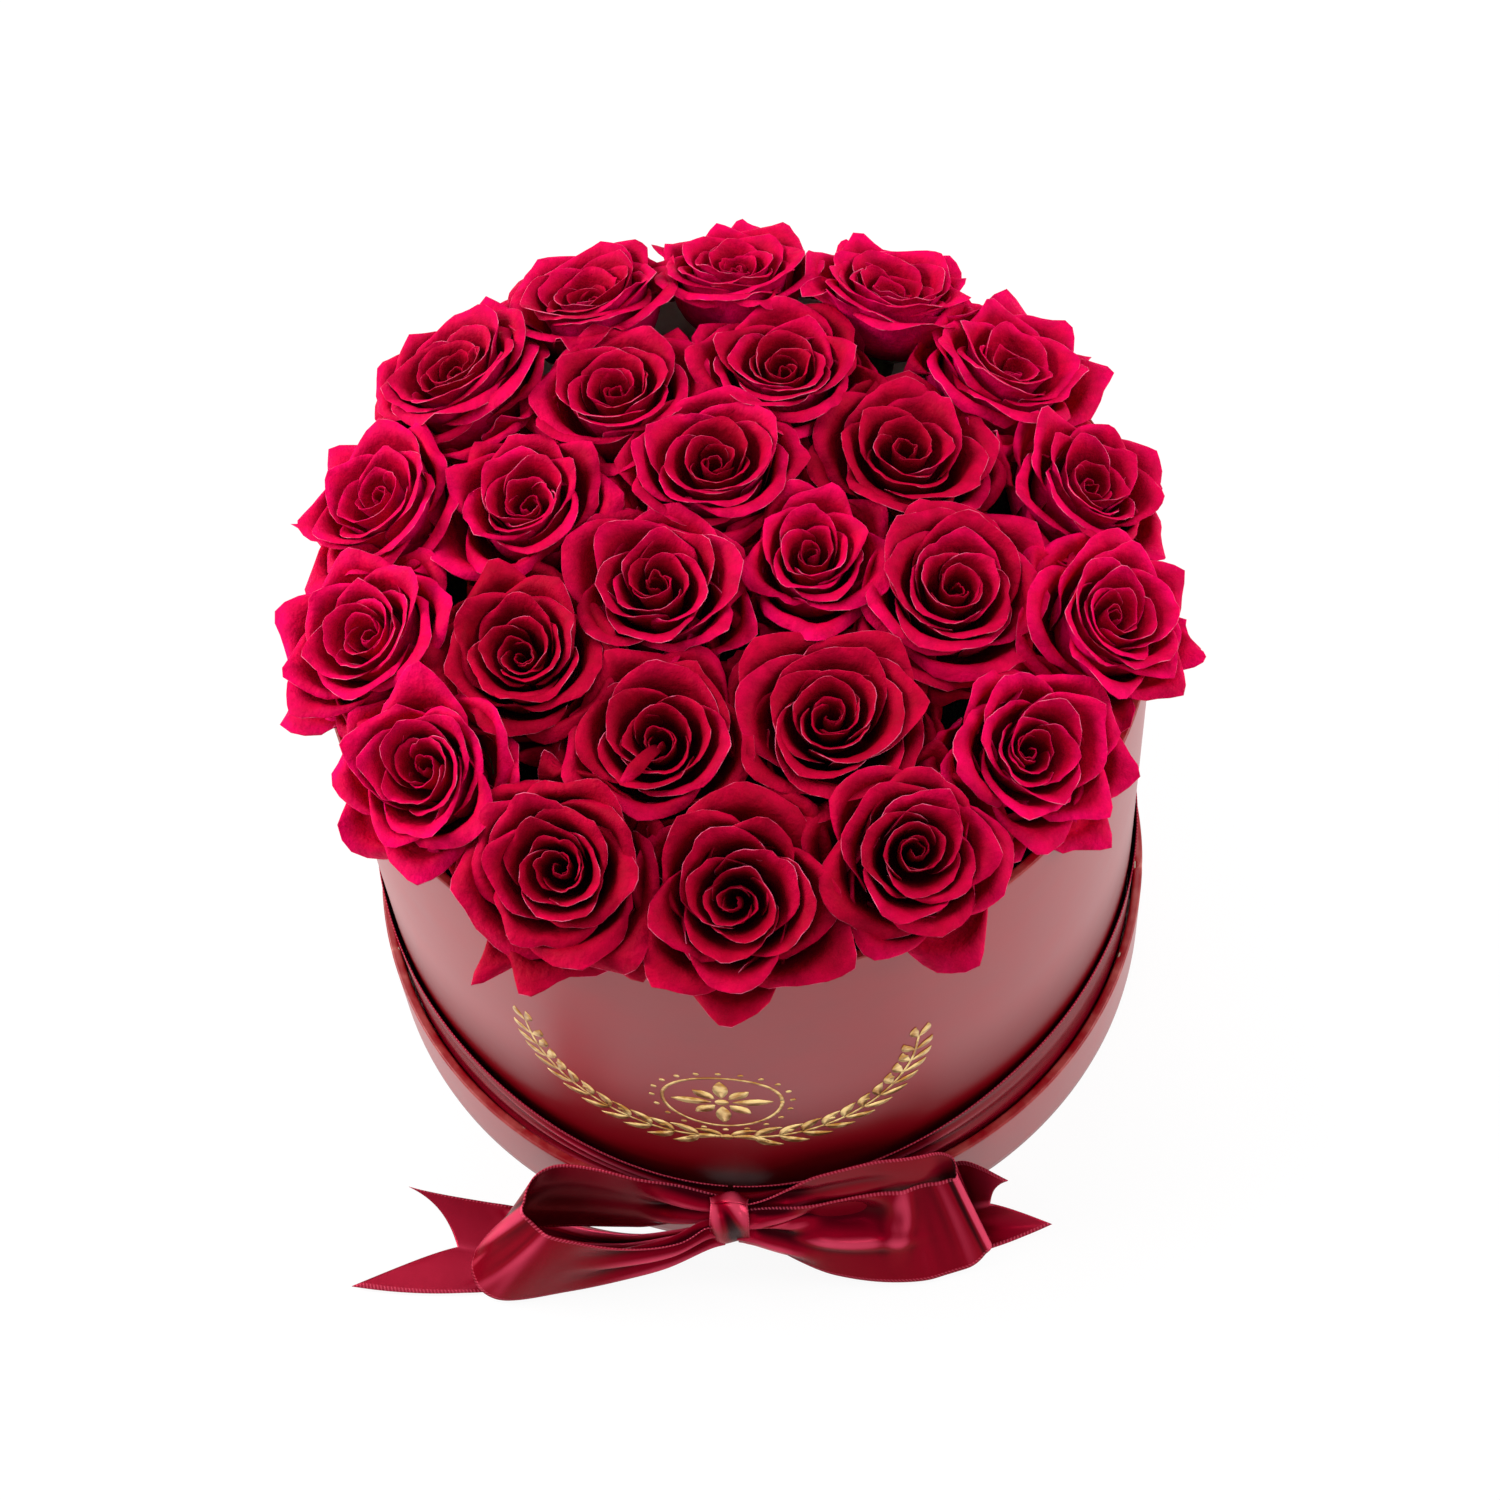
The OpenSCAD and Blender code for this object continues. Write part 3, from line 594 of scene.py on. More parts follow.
def rose(seed, petals, hand, opened_to=1.0, light=0.5, curl=None):
    """Points, quads and petal numbers of one rose on its own axis, in millimetres."""
    rng = np.random.default_rng(seed)
    opened, dip = rng.uniform(0.94, 1.08), rng.uniform(-1.0, 3.5)
    lean, squash = rng.uniform(-1.6, 1.6, 2), rng.uniform(0.88, 1.0)
    habit = {"point": rng.uniform(0.8, 1.5), "half_span": rng.uniform(0.92, 1.05),
             "roll": rng.uniform(0.6, 1.6), "side_drop": rng.uniform(0.8, 1.3),
             "ruffle": rng.uniform(0.8, 1.5), "tuck": rng.uniform(0.8, 1.3)}
    parts = []
    torn = {**habit, "ruffle": habit["ruffle"] * 2.2, "half_span": 0.55, "side_drop": 0.4}
    for k in range(petals + TORN):
        share = float(np.clip(k / (petals - 1) + rng.uniform(-0.015, 0.015), 0, 1))
        age = share ** 0.85 * opened_to
        turn = math.radians(GOLDEN_ANGLE * k) * hand + rng.uniform(-0.28, 0.28)
        surface = petal_surface(age, turn, rng, hand, habit if k < petals else torn)
        near_eye, halfway = math.exp(-(age / 0.3) ** 2), math.exp(-((age - 0.5) / 0.3) ** 2)
        is_loose = rng.random() < 0.25 and age > 0.3
        loose = rng.uniform(0.03, 0.10) if is_loose else rng.uniform(-0.04, 0.03)
        surface[..., :2] *= 1 + (opened - 1) * halfway + (loose * ALONG ** 2)[:, None]
        surface[..., :2] += lean * near_eye * ALONG[:, None]
        surface[..., 2] -= (dip * near_eye + rng.uniform(-0.7, 0.7)) * ALONG
        # Petals near the eye are painted darker, as shade deep in the flower; the rest of the
        # change is random tone.
        own_light = light + rng.uniform(-0.25, 0.3) - 0.55 * near_eye
        points, quads, numbers = thickened(surface, float(np.clip(own_light, -0.35, 1.1)))
        numbers[:, 3] *= 1 - 0.5 * near_eye        # the pale line of the edge fades towards the eye
        parts.append((points, quads, numbers))
    if curl is not None:
        parts.append(thickened(curled_petal(math.radians(curl)), light + 0.3))
    points, quads, numbers = joined(parts)
    return points * [squash, 1, 1], quads, numbers


print("a rose of 20 petals has", len(rose(1, 20, 1)[1]), "quads")

# %% [markdown]
# ## Planting
# The florist sets fourteen roses round the rim, leaning out over it, eight inside them and three
# at the centre. Each place is a turn round the box and a small push outwards. The turns are those
# of the solid model, and so are the pushes, but for four roses of the outer ring (the third,
# fourth, fifth and last), which stand 1 to 2 mm further in. Each rose also gets a seed, a number
# of petals and a hand, so no two are alike, and then its size, how far it is open and how light
# it is. One rose has a curled petal in its eye, so it also gives the turn of that petal.

# %% Where each rose stands
OUTER_LEAN, MIDDLE_LEAN, CENTRE_LEAN = 25, 9, 4                # degrees away from upright
SHOULDER_R, SHOULDER_H, RIM_ROOM, RIM_RIDE = 17, 13, 2.0, 0.9  # mm, and mm of rise per mm of push
PAST_WALL = 0.3                                # mm that a shoulder reaches past the wall's inside
MIDDLE_SHARE, CENTRE_SHARE = 0.615, 0.233      # of the outer ring's radius
MIDDLE_RISE, CENTRE_RISE = 5, 9                # mm above the outer ring
lean = math.radians(OUTER_LEAN)
OUTER_RING = (INNER_R / MM + PAST_WALL - SHOULDER_R * math.cos(lean) - SHOULDER_H * math.sin(lean),
              RIM_Z / MM + RIM_ROOM - SHOULDER_H * math.cos(lean) + SHOULDER_R * math.sin(lean))
RINGS = {
    "outer": (OUTER_RING[0], OUTER_RING[1], OUTER_LEAN),
    "middle": (MIDDLE_SHARE * OUTER_RING[0], OUTER_RING[1] + MIDDLE_RISE, MIDDLE_LEAN),
    "centre": (CENTRE_SHARE * OUTER_RING[0], OUTER_RING[1] + CENTRE_RISE, CENTRE_LEAN),
}
# Ring: turn in degrees from +X, push in mm, seed, petals, hand, size, how far open, how light,
# and for one rose the turn of its curled petal in degrees
# The roses towards the front, from about 210 to 300 degrees, are given the lowest lightness:
# painted shade.
PLANTS = {
    "outer": [
        (17, 0, 11, 22, 1, 1.05, 1.0, 0.75), (43, 0, 12, 20, -1, 1.09, 1.0, 1.0),
        (67, -1, 13, 22, 1, 1.02, 0.80, 0.9), (93, -3, 14, 21, -1, 1.0, 0.80, 0.85),
        (118, -1.5, 15, 22, 1, 1.05, 0.84, 0.6), (144, 1, 16, 23, 1, 1.09, 1.0, 0.58),
        (170, -1, 17, 20, -1, 1.03, 1.0, 1.0), (195, 0, 18, 22, 1, 1.05, 1.0, 1.0),
        (221, 1, 19, 22, -1, 1.09, 1.0, 0.82), (248, 2, 20, 24, 1, 1.14, 1.0, 0.05),
        (275, 0, 21, 22, -1, 1.13, 1.0, -0.05), (302, 1, 22, 22, 1, 1.09, 1.0, 0.2),
        (327.5, -1, 23, 22, -1, 1.05, 1.0, 0.85), (352, 4, 24, 21, 1, 0.99, 1.0, 1.0)],
    "middle": [
        (36, -3, 31, 21, 1, 1.1, 1.0, 0.15), (80, 1, 32, 22, -1, 1.12, 1.0, 0.42),
        (125, 1, 33, 20, 1, 1.06, 1.0, 0.5), (166, -1, 34, 22, -1, 1.12, 1.0, 0.62),
        (213, 3, 35, 23, 1, 1.12, 1.0, -0.12), (256, 0, 36, 22, -1, 1.18, 1.0, 0.08, 340),
        (301, -1, 37, 23, 1, 1.18, 1.0, -0.06), (350, 2, 38, 22, -1, 1.12, 1.0, 0.42)],
    "centre": [
        (104, 2, 51, 21, 1, 1.06, 1.0, 0.48), (218, 0, 52, 23, -1, 1.12, 1.0, 0.35),
        (353, 0, 53, 20, 1, 1.01, 1.0, 0.82)],
}


def axis_of(ring, turn, push):
    """Foot and direction of a rose's axis, in millimetres in the row's frame."""
    out, height, tilt = RINGS[ring]
    turn, tilt = math.radians(turn), math.radians(tilt)
    across = np.array([math.cos(turn), math.sin(turn), 0])
    foot = across * (out + push) + np.array([0, 0, height + RIM_RIDE * max(push, 0)])
    return foot, across * math.sin(tilt) + np.array([0, 0, math.cos(tilt)])


AXES = {f"rose_{ring}_{i + 1:02d}": axis_of(ring, turn, push)
        for ring, plants in PLANTS.items() for i, (turn, push, *_) in enumerate(plants)}
print(len(AXES), "roses to plant")

# %% [markdown]
# ## Pressed together
# In a full box the heads push against each other, so their outer petals are held in where there
# is a neighbour and lie out over the rim where there is none. A cloth simulation could find that,
# but it is slow and hard to steer. Here each point is drawn in where it passes well beyond the
# halfway line to another rose's axis, and lifted where it would cut into the rim.

# %% Neighbours press against each other
OVERLAP = 4.6                          # most mm that a petal reaches past the halfway line
FREE_SHARE = 0.8                       # share of that limit within which nothing is drawn in
RIM_GAP, FALL = 0.7, 1.2               # mm over the rim, and how fast a petal falls beside it
RIM_SIDE, RIM_NEAR = 0.6, 4            # mm outside the wall where the fall starts and the lift ends


def nearest_on(foot, direction, points):
    """The nearest point of an axis to each point."""
    return foot + ((points - foot) @ direction)[:, None] * direction


def pressed(points, name):
    """Draws in what reaches past the halfway line to a neighbour, as petals do in a full box."""
    foot, direction = AXES[name]
    own = nearest_on(foot, direction, points)
    reach = points - own
    r = np.linalg.norm(reach, axis=1)
    unit = reach / np.maximum(r, 1e-6)[:, None]
    limit = np.full(len(points), 1e3)
    for other, (there, way) in AXES.items():
        if other == name:
            continue
        between = nearest_on(there, way, points) - own
        towards = (between * unit).sum(1)
        gap = (between ** 2).sum(1) / (2 * np.maximum(towards, 1e-6))
        limit = np.where(towards > 1e-3, np.minimum(limit, gap + OVERLAP), limit)
    share = r / limit
    drawn_in = FREE_SHARE + (1 - FREE_SHARE) * np.tanh((share - FREE_SHARE) / (1 - FREE_SHARE))
    return own + unit * (np.where(share > FREE_SHARE, drawn_in, share) * limit)[:, None]


def over_rim(points):
    """Lifts what would cut into the box's rim, so a petal lies over it."""
    r = np.hypot(points[:, 0], points[:, 1])
    low, high = INNER_R / MM, BOX_R / MM
    past = np.maximum(np.maximum(low - r, r - high - RIM_SIDE), 0)
    needed = RIM_Z / MM + RIM_GAP - FALL * past ** 1.5
    lifted = points.copy()
    lifted[:, 2] = np.maximum(points[:, 2], np.where(r < high + RIM_NEAR, needed, -1e3))
    return lifted


print("roses overlap their neighbours by up to", OVERLAP, "mm")

# %% Plant the roses


def planted(name, turn, seed, petals, hand, size, opened_to, light, curl=None):
    """One rose in its place, which stands for its solid."""
    foot, direction = AXES[name]
    points, quads, numbers = rose(seed, petals, hand, opened_to, light, curl)
    points = points * [size, size, 1]
    side = np.cross(direction, [math.sin(math.radians(turn)), -math.cos(math.radians(turn)), 0])
    side /= np.linalg.norm(side)
    frame_axes = np.stack([side, np.cross(direction, side), direction])
    world = over_rim(pressed(foot + points @ frame_axes, name))
    return piece(name.replace("rose", "bloom"), world * MM, quads, petal_velvet, "box", [name],
                 {"petal": numbers})


for ring, plants in PLANTS.items():
    for i, (turn, push, *habit) in enumerate(plants):
        bloom = planted(f"rose_{ring}_{i + 1:02d}", turn, *habit)
print(bloom.name, len(bloom.data.polygons), "quads")

# %% [markdown]
# ## Satin ribbon
# Satin is woven so that its threads float on the face, which makes it smooth and gives it broad
# bright folds against dark hollows. A low, even roughness does that, with a little metallic tint
# so the highlight keeps some of the red. Fine weft lines run across the strip and a stitched
# selvedge runs along each side, so every ribbon piece carries its length and its place across the
# width. Its colour also gets a painted highlight on each ridge and painted shade in each hollow and
# near the knot, so each point also carries how sharply the strip folds there.

# %% Ribbon finish
satin, w, shader = finish_of(
    "burgundy_satin", Metallic=0.35, Roughness=0.25, Specular_IOR_Level=0.06)
shader.inputs["Specular Tint"].default_value = rgb(170, 30, 48)
# Metres along the ribbon, 0 to 1 across it, and its painted light and shade from the fold: 0 in a
# hollow, 0.5 flat, 1 on a ridge, lower near the knot and higher on the tails
length, breadth, fold = carried(w, "strip")
from_edge = w.maths("ABSOLUTE", breadth - 0.5) * 2
selvedge = eased(w, from_edge, 0.925, 0.945)
STITCH, WEFT = 0.0011, 0.00035         # metres from one stitch, and from one weft line, to the next
stitches = eased(w, w.maths("SINE", length * (2 * math.pi / STITCH)), -0.2, 0.5)
weft = w.maths("SINE", length * (2 * math.pi / WEFT))
shade = clouds(w, 0.02, 3)
satin_colour = blended(w, shade, rgb(118, 1, 24), rgb(138, 3, 30))
# Painted shade: darker in hollows and near the knot.
satin_colour = blended(w, eased(w, fold, 0.14, 0.55), rgb(50, 0, 9), satin_colour)
# Painted highlight: paler pink on ridges.
ridge_highlight = eased(w, fold, 0.56, 0.96) * (0.7 + shade * 0.4)
satin_colour = blended(w, ridge_highlight, satin_colour, rgb(230, 76, 108))
satin_colour = blended(w, selvedge * (0.08 + stitches * 0.42), satin_colour, rgb(222, 84, 110))
feed(w, shader, Base_Color=satin_colour, Roughness=0.22 + shade * 0.06 + selvedge * 0.15,
     Normal=bumped(w, weft * 0.12 + selvedge * stitches * 2 + shade, 0.00006))
print(satin.name)

# %% [markdown]
# ## Laying out a strip of ribbon
# A ribbon can't stretch, but it bends and gathers. Each length is given by a few ribs across it,
# in coordinates wrapped round the lid: distance round from the front, distance out from the lid,
# and height. A smooth curve through the ribs gives the strip. Where it goes into the knot it is
# too wide, so it folds into pleats, whose depth follows from the width that is left over.

# %% Ribbon helpers
RIBBON_W, RIBBON_T = 38, 0.4           # mm
KNOT_Z = 37                            # mm, height of the knot's middle
KNOT_BACK = LID_R / MM + 1.1           # mm from the axis, just outside the lid
KNOT_SHADE = 17                        # mm over which the knot's shadow fades
CROSS = np.linspace(0, 1, 33)
STEPS = 12                             # rows of points from one rib to the next


def wrapped(p):
    """Coordinates wrapped round the lid, in mm, as x, y, z in mm."""
    turn = p[..., 0] / (LID_R / MM)
    r = LID_R / MM + p[..., 1]
    return np.stack([r * np.sin(turn), -r * np.cos(turn), p[..., 2]], -1)


def smooth_ribs(ribs, steps):
    """More ribs along smooth curves through the given ones."""
    ribs = np.array(ribs, float)
    padded = np.concatenate([ribs[:1], ribs, ribs[-1:]])
    t = np.linspace(0, 1, steps, endpoint=False)[:, None, None, None]
    curve = spline(padded[:-3], padded[1:-2], padded[2:-1], padded[3:], t)
    return np.concatenate([np.moveaxis(curve, 0, 1).reshape(-1, *ribs.shape[1:]), ribs[-1:]])


def across_rib(ribs):
    """Each rib of two or three points filled in to the points of CROSS. With three points it runs
    evenly round the lid and curves outwards and upwards."""
    if ribs.shape[1] == 2:
        return ribs[:, :1] * (1 - CROSS)[:, None] + ribs[:, 1:] * CROSS[:, None]
    first, middle, last = (ribs[:, k:k + 1] for k in range(3))
    c = CROSS[:, None]
    curved = (first * (2 * (c - 0.5) * (c - 1)) + middle * (4 * c * (1 - c))
              + last * (2 * c * (c - 0.5)))
    straight = np.where(c < 0.5, first + (middle - first) * 2 * c,
                        middle + (last - middle) * (2 * c - 1))
    curved[..., 0] = straight[..., 0]
    return curved


def pleated(surface, pleats=2, depth=2.1, begins=0.35):
    """Folds the width that is left over into pleats."""
    width = np.linalg.norm(np.diff(surface, axis=1), axis=-1).sum(1)
    spare = np.sqrt(np.clip(RIBBON_W ** 2 - width ** 2, 0, None))
    begun = np.clip((spare / RIBBON_W - begins) / 0.5, 0, 1)
    depth = np.minimum(spare / (4 * pleats), depth) * begun ** 2 * (3 - 2 * begun)
    waves = depth[:, None] * np.cos(2 * math.pi * pleats * CROSS)
    return surface + normals_of(surface) * waves[..., None]


def dented(surface, dents, outward):
    """Presses dents into a strip, or pushes folds out of it. Each is its rib, its place across, its
    half-length in ribs, its half-width across, its height in mm, and the ribs it drifts across."""
    rib, normal = np.arange(len(surface))[:, None] / STEPS, normals_of(surface)
    for at, across, long, wide, high, drift in dents:
        q = ((rib - at - drift * (CROSS - across)) / long) ** 2 + ((CROSS - across) / wide) ** 2
        surface = surface + normal * (outward * high * np.exp(-q ** 1.5))[..., None]
    return surface


def fold_light_and_shade(surface, shade_near_knot):
    """How sharply the strip folds, from -1 in a hollow to 1 on a ridge, and the painted shade near
    the knot.
    """
    normal, bend = normals_of(surface), 0
    for axis in (0, 1):
        step, turn = np.gradient(surface, axis=axis), np.gradient(normal, axis=axis)
        bend = bend + (step * turn).sum(-1) / np.maximum((step ** 2).sum(-1), 1e-4)
    away = np.linalg.norm(surface - [0, -KNOT_BACK - 5, KNOT_Z], axis=-1)
    return np.tanh(3.2 * bend), shade_near_knot * np.exp(-(away / KNOT_SHADE) ** 2)


def ribbon(name, surface, node, shade_near_knot=0.75, painted_light=0.0):
    """A strip of ribbon from its middle surface in mm. Its last two arguments give the painted
    shade near the knot and the painted light that makes all of it lighter."""
    half = RIBBON_T / 2 * normals_of(surface)
    points, quads = two_faced(surface + half, surface - half)
    steps = np.linalg.norm(np.diff(surface, axis=0), axis=-1)
    runs = np.concatenate([np.zeros((1, len(CROSS))), np.cumsum(steps, 0)])
    across = np.repeat(CROSS[None], len(surface), 0)
    bend, dark = fold_light_and_shade(surface, shade_near_knot)
    numbers = []
    for face in (1, -1):
        # Painted light and shade: paler on ridges, darker in hollows and near the knot, all lighter
        # by the painted light.
        tone = np.clip(0.5 + 0.5 * (face * bend - dark + painted_light), 0, 1)
        numbers.append(np.stack([runs * MM, across, tone, np.ones_like(runs)], -1).reshape(-1, 4))
    made = piece(name, points * MM, quads, satin, "box", [node],
                 {"strip": np.concatenate(numbers)})


print("rows of points between two ribs:", STEPS)

# %% [markdown]
# ## The band
# One turn of ribbon lies flat on the box's wall with its foot tucked into the lid. In front it
# has to come out over the lid's edge and narrow to the knot's height, so it lifts, and the width
# that is left over gathers in folds. It is laid out by formula and not by ribs, because its shape
# depends only on how far round it is.

# %% The band round the foot
TUCK = 8                               # mm that its foot is tucked into the lid
OVER_LID, OVER_KNOT = 1.5, 10          # mm in front: foot over the lid, top over the knot's middle
LOW_GAP, HIGH_GAP, FRONT_GAP = 0.6, 1.4, 0.7   # mm: foot and top to the wall, front to the knot
SLACK, GATHER = 0.25, 3.4              # mm of the waves in its top, and of its folds in front
turns = np.radians(np.linspace(0.4, 359.6, 481))
in_front = np.abs(np.cos(turns / 2))   # 1 in front, 0 at the back
# These fall to a half at 27, 33 and 8 degrees from the front
near, wide, close = (in_front ** n for n in (24, 16, 300))
band_low, box_r, front_r = LID_H / MM - TUCK, BOX_R / MM, KNOT_BACK - FRONT_GAP
z_low = band_low + wide * (LID_H / MM + OVER_LID - band_low)
z_high = band_low + RIBBON_W + near * (KNOT_Z + OVER_KNOT - band_low - RIBBON_W)
r_low = box_r + LOW_GAP + close * (front_r - box_r - LOW_GAP)
r_high = box_r + HIGH_GAP + near * (front_r - box_r - HIGH_GAP)
rng = np.random.default_rng(5)
slack = sum(rng.uniform(0.3, 1) * np.sin(turns * n + rng.uniform(0, 6)) for n in (7, 13, 19)) / 3
r_high = r_high + SLACK * slack * (1 - near)
z = z_low[:, None] + (z_high - z_low)[:, None] * CROSS
r = r_low[:, None] + (r_high - r_low)[:, None] * CROSS ** 1.3
gather = np.clip(1 - (z_high - z_low) / RIBBON_W, 0, 1)[:, None]
folds = (1 + np.cos(2 * math.pi * 2.6 * CROSS + 2.2 * np.sin(turns)[:, None])) / 2
r = r + GATHER * gather * folds
band_surface = np.stack([r * np.sin(turns)[:, None], -r * np.cos(turns)[:, None], z], -1)
ribbon("band", band_surface, "ribbon_band")

# %% [markdown]
# ## Loops and tails
# Each loop of the bow leaves the knot against the wall, bends over at its far end and comes back
# in front, which leaves it hollow. The left tail runs down to the table, and the right one stands
# on its edge beside the lid. Both end in a swallow's cut: two points with a notch between them.
# All four are strips through given ribs, because a bow's look comes from where it bends.
# Small dents then break up the loops, as fingers do in tying them.

# %% Ribs of the two loops, as [lower edge, upper edge]
ROOT = 6.9                             # mm from the middle, where a strip comes out of the knot
LOOP_LEFT = [
    [[-2, 5.5, 31], [-2, 5, 45]], [[-ROOT, 5.5, 30], [-ROOT, 5, 47]],
    [[-19, 5.5, 20], [-18.5, 4, 49]], [[-32.5, 6.5, 13], [-32.5, 4, 50]],
    [[-47, 10.5, 8], [-43.5, 4.5, 47]], [[-58, 17.5, 6], [-51.5, 7, 44]],
    [[-65, 27.5, 4.5], [-55.5, 12.5, 41]], [[-65, 37, 4], [-54.5, 19.5, 38]],
    [[-59, 40.5, 3], [-50, 24, 36]], [[-52, 37, 1.5], [-44, 24, 35]],
    [[-41.5, 27.5, 1.5], [-36, 22, 34]], [[-29.5, 19.5, 7], [-24.5, 18.5, 35]],
    [[-18, 15, 16], [-13.5, 14.5, 38]], [[-ROOT, 11.5, 27], [-ROOT, 10.5, 42]],
    [[-2, 10, 29], [-2, 9.5, 41]]]
LOOP_RIGHT = [
    [[2, 4.5, 31], [2, 4, 46]], [[ROOT, 4.5, 30], [ROOT, 4, 48]],
    [[17.5, 4.5, 24], [16.5, 3, 53]], [[31, 4.5, 20], [28.5, 2.5, 57]],
    [[46, 6, 17], [44, 2, 56]], [[58.5, 8.5, 12], [58, 3, 51]], [[67, 14, 7], [64.5, 5, 45]],
    [[68, 21.5, 5], [64, 8.5, 39]], [[61.5, 24.5, 2.5], [58.5, 8, 38]],
    [[52, 23, 1.5], [51, 6.5, 38]], [[40.5, 19.5, 2], [39.5, 4.5, 38.5]],
    [[28.5, 15.5, 5.5], [27.5, 5, 40]], [[17.5, 12.5, 13], [16.5, 6.5, 42]],
    [[ROOT, 11, 27], [ROOT, 8.5, 45]], [[2, 10, 29], [2, 8.5, 43]]]
# Rib, place across, half-length in ribs, half-width across, height in mm, drift in ribs
DENTS_LEFT = [
    (6.75, 0.5, 0.30, 1.2, 1.2, 1.1), (7.65, 0.5, 0.45, 1.2, -0.9, 0.9),
    (8.7, 0.35, 0.5, 0.6, 0.6, 0.3), (4.2, 0.55, 1.5, 0.16, 0.6, 0.1),
    (3.2, 0.3, 1.6, 0.14, -0.6, 0)]
DENTS_RIGHT = [
    (10.75, 0.73, 1.05, 0.19, -5.0, 0), (12.0, 0.74, 0.7, 0.08, -2.2, 0),
    (9.45, 0.66, 0.30, 0.36, 1.2, -0.6), (10.6, 0.46, 1.2, 0.08, 1.1, 0),
    (8.5, 0.45, 0.5, 0.9, -1.0, 0), (7.1, 0.5, 0.22, 1.4, 1.0, 0),
    (4.6, 0.75, 0.6, 0.4, -1.2, 0), (2.6, 0.7, 1.3, 0.10, 0.9, 0)]
for side, ribs, dents, outward in (("left", LOOP_LEFT, DENTS_LEFT, 1),
                                   ("right", LOOP_RIGHT, DENTS_RIGHT, -1)):
    surface = pleated(wrapped(across_rib(smooth_ribs(ribs, STEPS))))
    ribbon(f"bow_{side}", dented(surface, dents, outward), f"bow_loop_{side}")

# %% Ribs of the two tails, as [front edge, middle, back edge]
TAIL_LEFT = [
    [[-2, 10, 27], [-2, 8, 27], [-2, 5.5, 27]],
    [[-ROOT, 10.5, 25.5], [-ROOT, 8, 25.5], [-ROOT, 5, 26]],
    [[-16.5, 10.5, 14], [-16.5, 7.5, 15.5], [-16.5, 4.5, 16.5]],
    [[-29.5, 14.5, 5], [-29.5, 10.5, 6.5], [-29, 5.5, 8]],
    [[-43, 22.5, 1.5], [-41.5, 15, 2.5], [-42.5, 6.5, 3]],
    [[-54.5, 34.5, 1], [-51, 20, 1.2], [-59, 9, 1.5]],
    [[-68, 48, 1], [-61.5, 26.5, 1], [-74.5, 17.5, 2]],
    [[-83, 63, 1.2], [-71.5, 33, 1], [-90, 30, 6]]]
TAIL_RIGHT = [
    [[2, 10, 27], [2, 8, 27], [2, 5.5, 27]],
    [[ROOT, 10.5, 25.5], [ROOT, 8, 25.5], [ROOT, 5, 26]],
    [[16.5, 10, 13], [16, 6.5, 14.5], [16.5, 4, 19]],
    [[28.5, 11, 4], [29, 5, 5.5], [29.5, 2.2, 15]],
    [[42, 13.5, 1.5], [43.5, 4, 3], [44.5, 1.5, 18]],
    [[54, 17.5, 1], [57.5, 3.5, 3], [57.5, 1.5, 25]],
    [[68, 21.5, 1], [66.5, 7.5, 6], [69, 3.5, 32]],
    [[84.5, 26.5, 4], [72, 14.5, 17], [75.5, 17.5, 37]]]
for side, ribs in (("left", TAIL_LEFT), ("right", TAIL_RIGHT)):
    surface = pleated(wrapped(across_rib(smooth_ribs(ribs, STEPS))), 4, 2.2, 0.1)
    surface[..., 2] = np.maximum(surface[..., 2], 0.5)
    # The tails get painted light, which makes all of them lighter.
    ribbon(f"tail_{side}", surface, f"bow_tail_{side}", painted_light=0.32)

# %% [markdown]
# ## The knot
# The knot wraps the middle of the bow and hides the roots of the loops and tails. On the real bow
# it is the same ribbon, folded over on itself. Here one narrower strip stands for it: it runs
# once round an upright oval, and waves added outwards gather it into a few slanting folds.

# %% The knot
KNOT_W, KNOT_DEPTH, KNOT_H = 11.5, 11, 24      # mm across, out and up
FOLD, FOLDS, SLANT = 0.55, 1.15, 2.2   # mm, folds across the knot, and how far they wander, radians
HEM = 1.2                              # mm that its edges are turned in
around = np.linspace(0, 2 * math.pi, 97)
radius, straight = KNOT_DEPTH / 2, KNOT_H / 2 - KNOT_DEPTH / 2
path_y = -KNOT_BACK - radius - radius * np.sin(around)
upright = np.sign(np.cos(around)) * np.abs(np.cos(around)) ** 0.5
path_z = KNOT_Z + radius * np.cos(around) + straight * upright
half_width = KNOT_W / 2 * (0.92 + 0.10 * np.abs(np.sin(around)))
x = (CROSS * 2 - 1) * half_width[:, None] + 0.5 * np.sin(around)[:, None] * np.cos(around)[:, None]
folds = FOLD * np.cos(2 * math.pi * FOLDS * CROSS + SLANT * np.cos(around + 0.9)[:, None])
folds = folds - HEM * np.abs(CROSS * 2 - 1) ** 3
out_y, out_z = -np.sin(around)[:, None], np.cos(around)[:, None]
knot_surface = np.stack([x, path_y[:, None] + out_y * folds, path_z[:, None] + out_z * folds], -1)
# The knot gets less painted shade than the loops and the band.
ribbon("knot_wrap", knot_surface, "bow_knot", shade_near_knot=0.48)

# %% [markdown]
# ## Foil ornament
# Hot-stamped foil is a film of metal far thinner than paper, pressed on the finished wall. Here
# it is 0.06 mm thick, so that it stands clear of the wall. Every motif is a blade: a path on the
# wall and a half-width along it. A long even blade is a line, a swelling one is a leaf, and a
# short one as wide as it is long is a bead.

# %% Foil finish
gold_foil, w, shader = finish_of("gold_foil", Metallic=1.0, Roughness=0.3)
glints = clouds(w, 0.004, 4)
gold_colour = blended(w, eased(w, glints, 0.36, 0.64), rgb(184, 128, 56), rgb(250, 216, 146))
feed(w, shader, Base_Color=gold_colour,
     Roughness=0.22 + glints * 0.25, Normal=bumped(w, clouds(w, 0.0008, 2), 0.00002))
print(gold_foil.name)

# %% Blades of foil
FOIL_BACK, FOIL_FRONT = 0.01, 0.06     # mm out from the wall
CENTRE_Z = 96                          # mm, height of the ornament's middle


def headings(path):
    """The direction that a path on the wall runs in at each of its points."""
    way = np.gradient(path, axis=0)
    return way / np.maximum(np.linalg.norm(way, axis=1, keepdims=True), 1e-9)


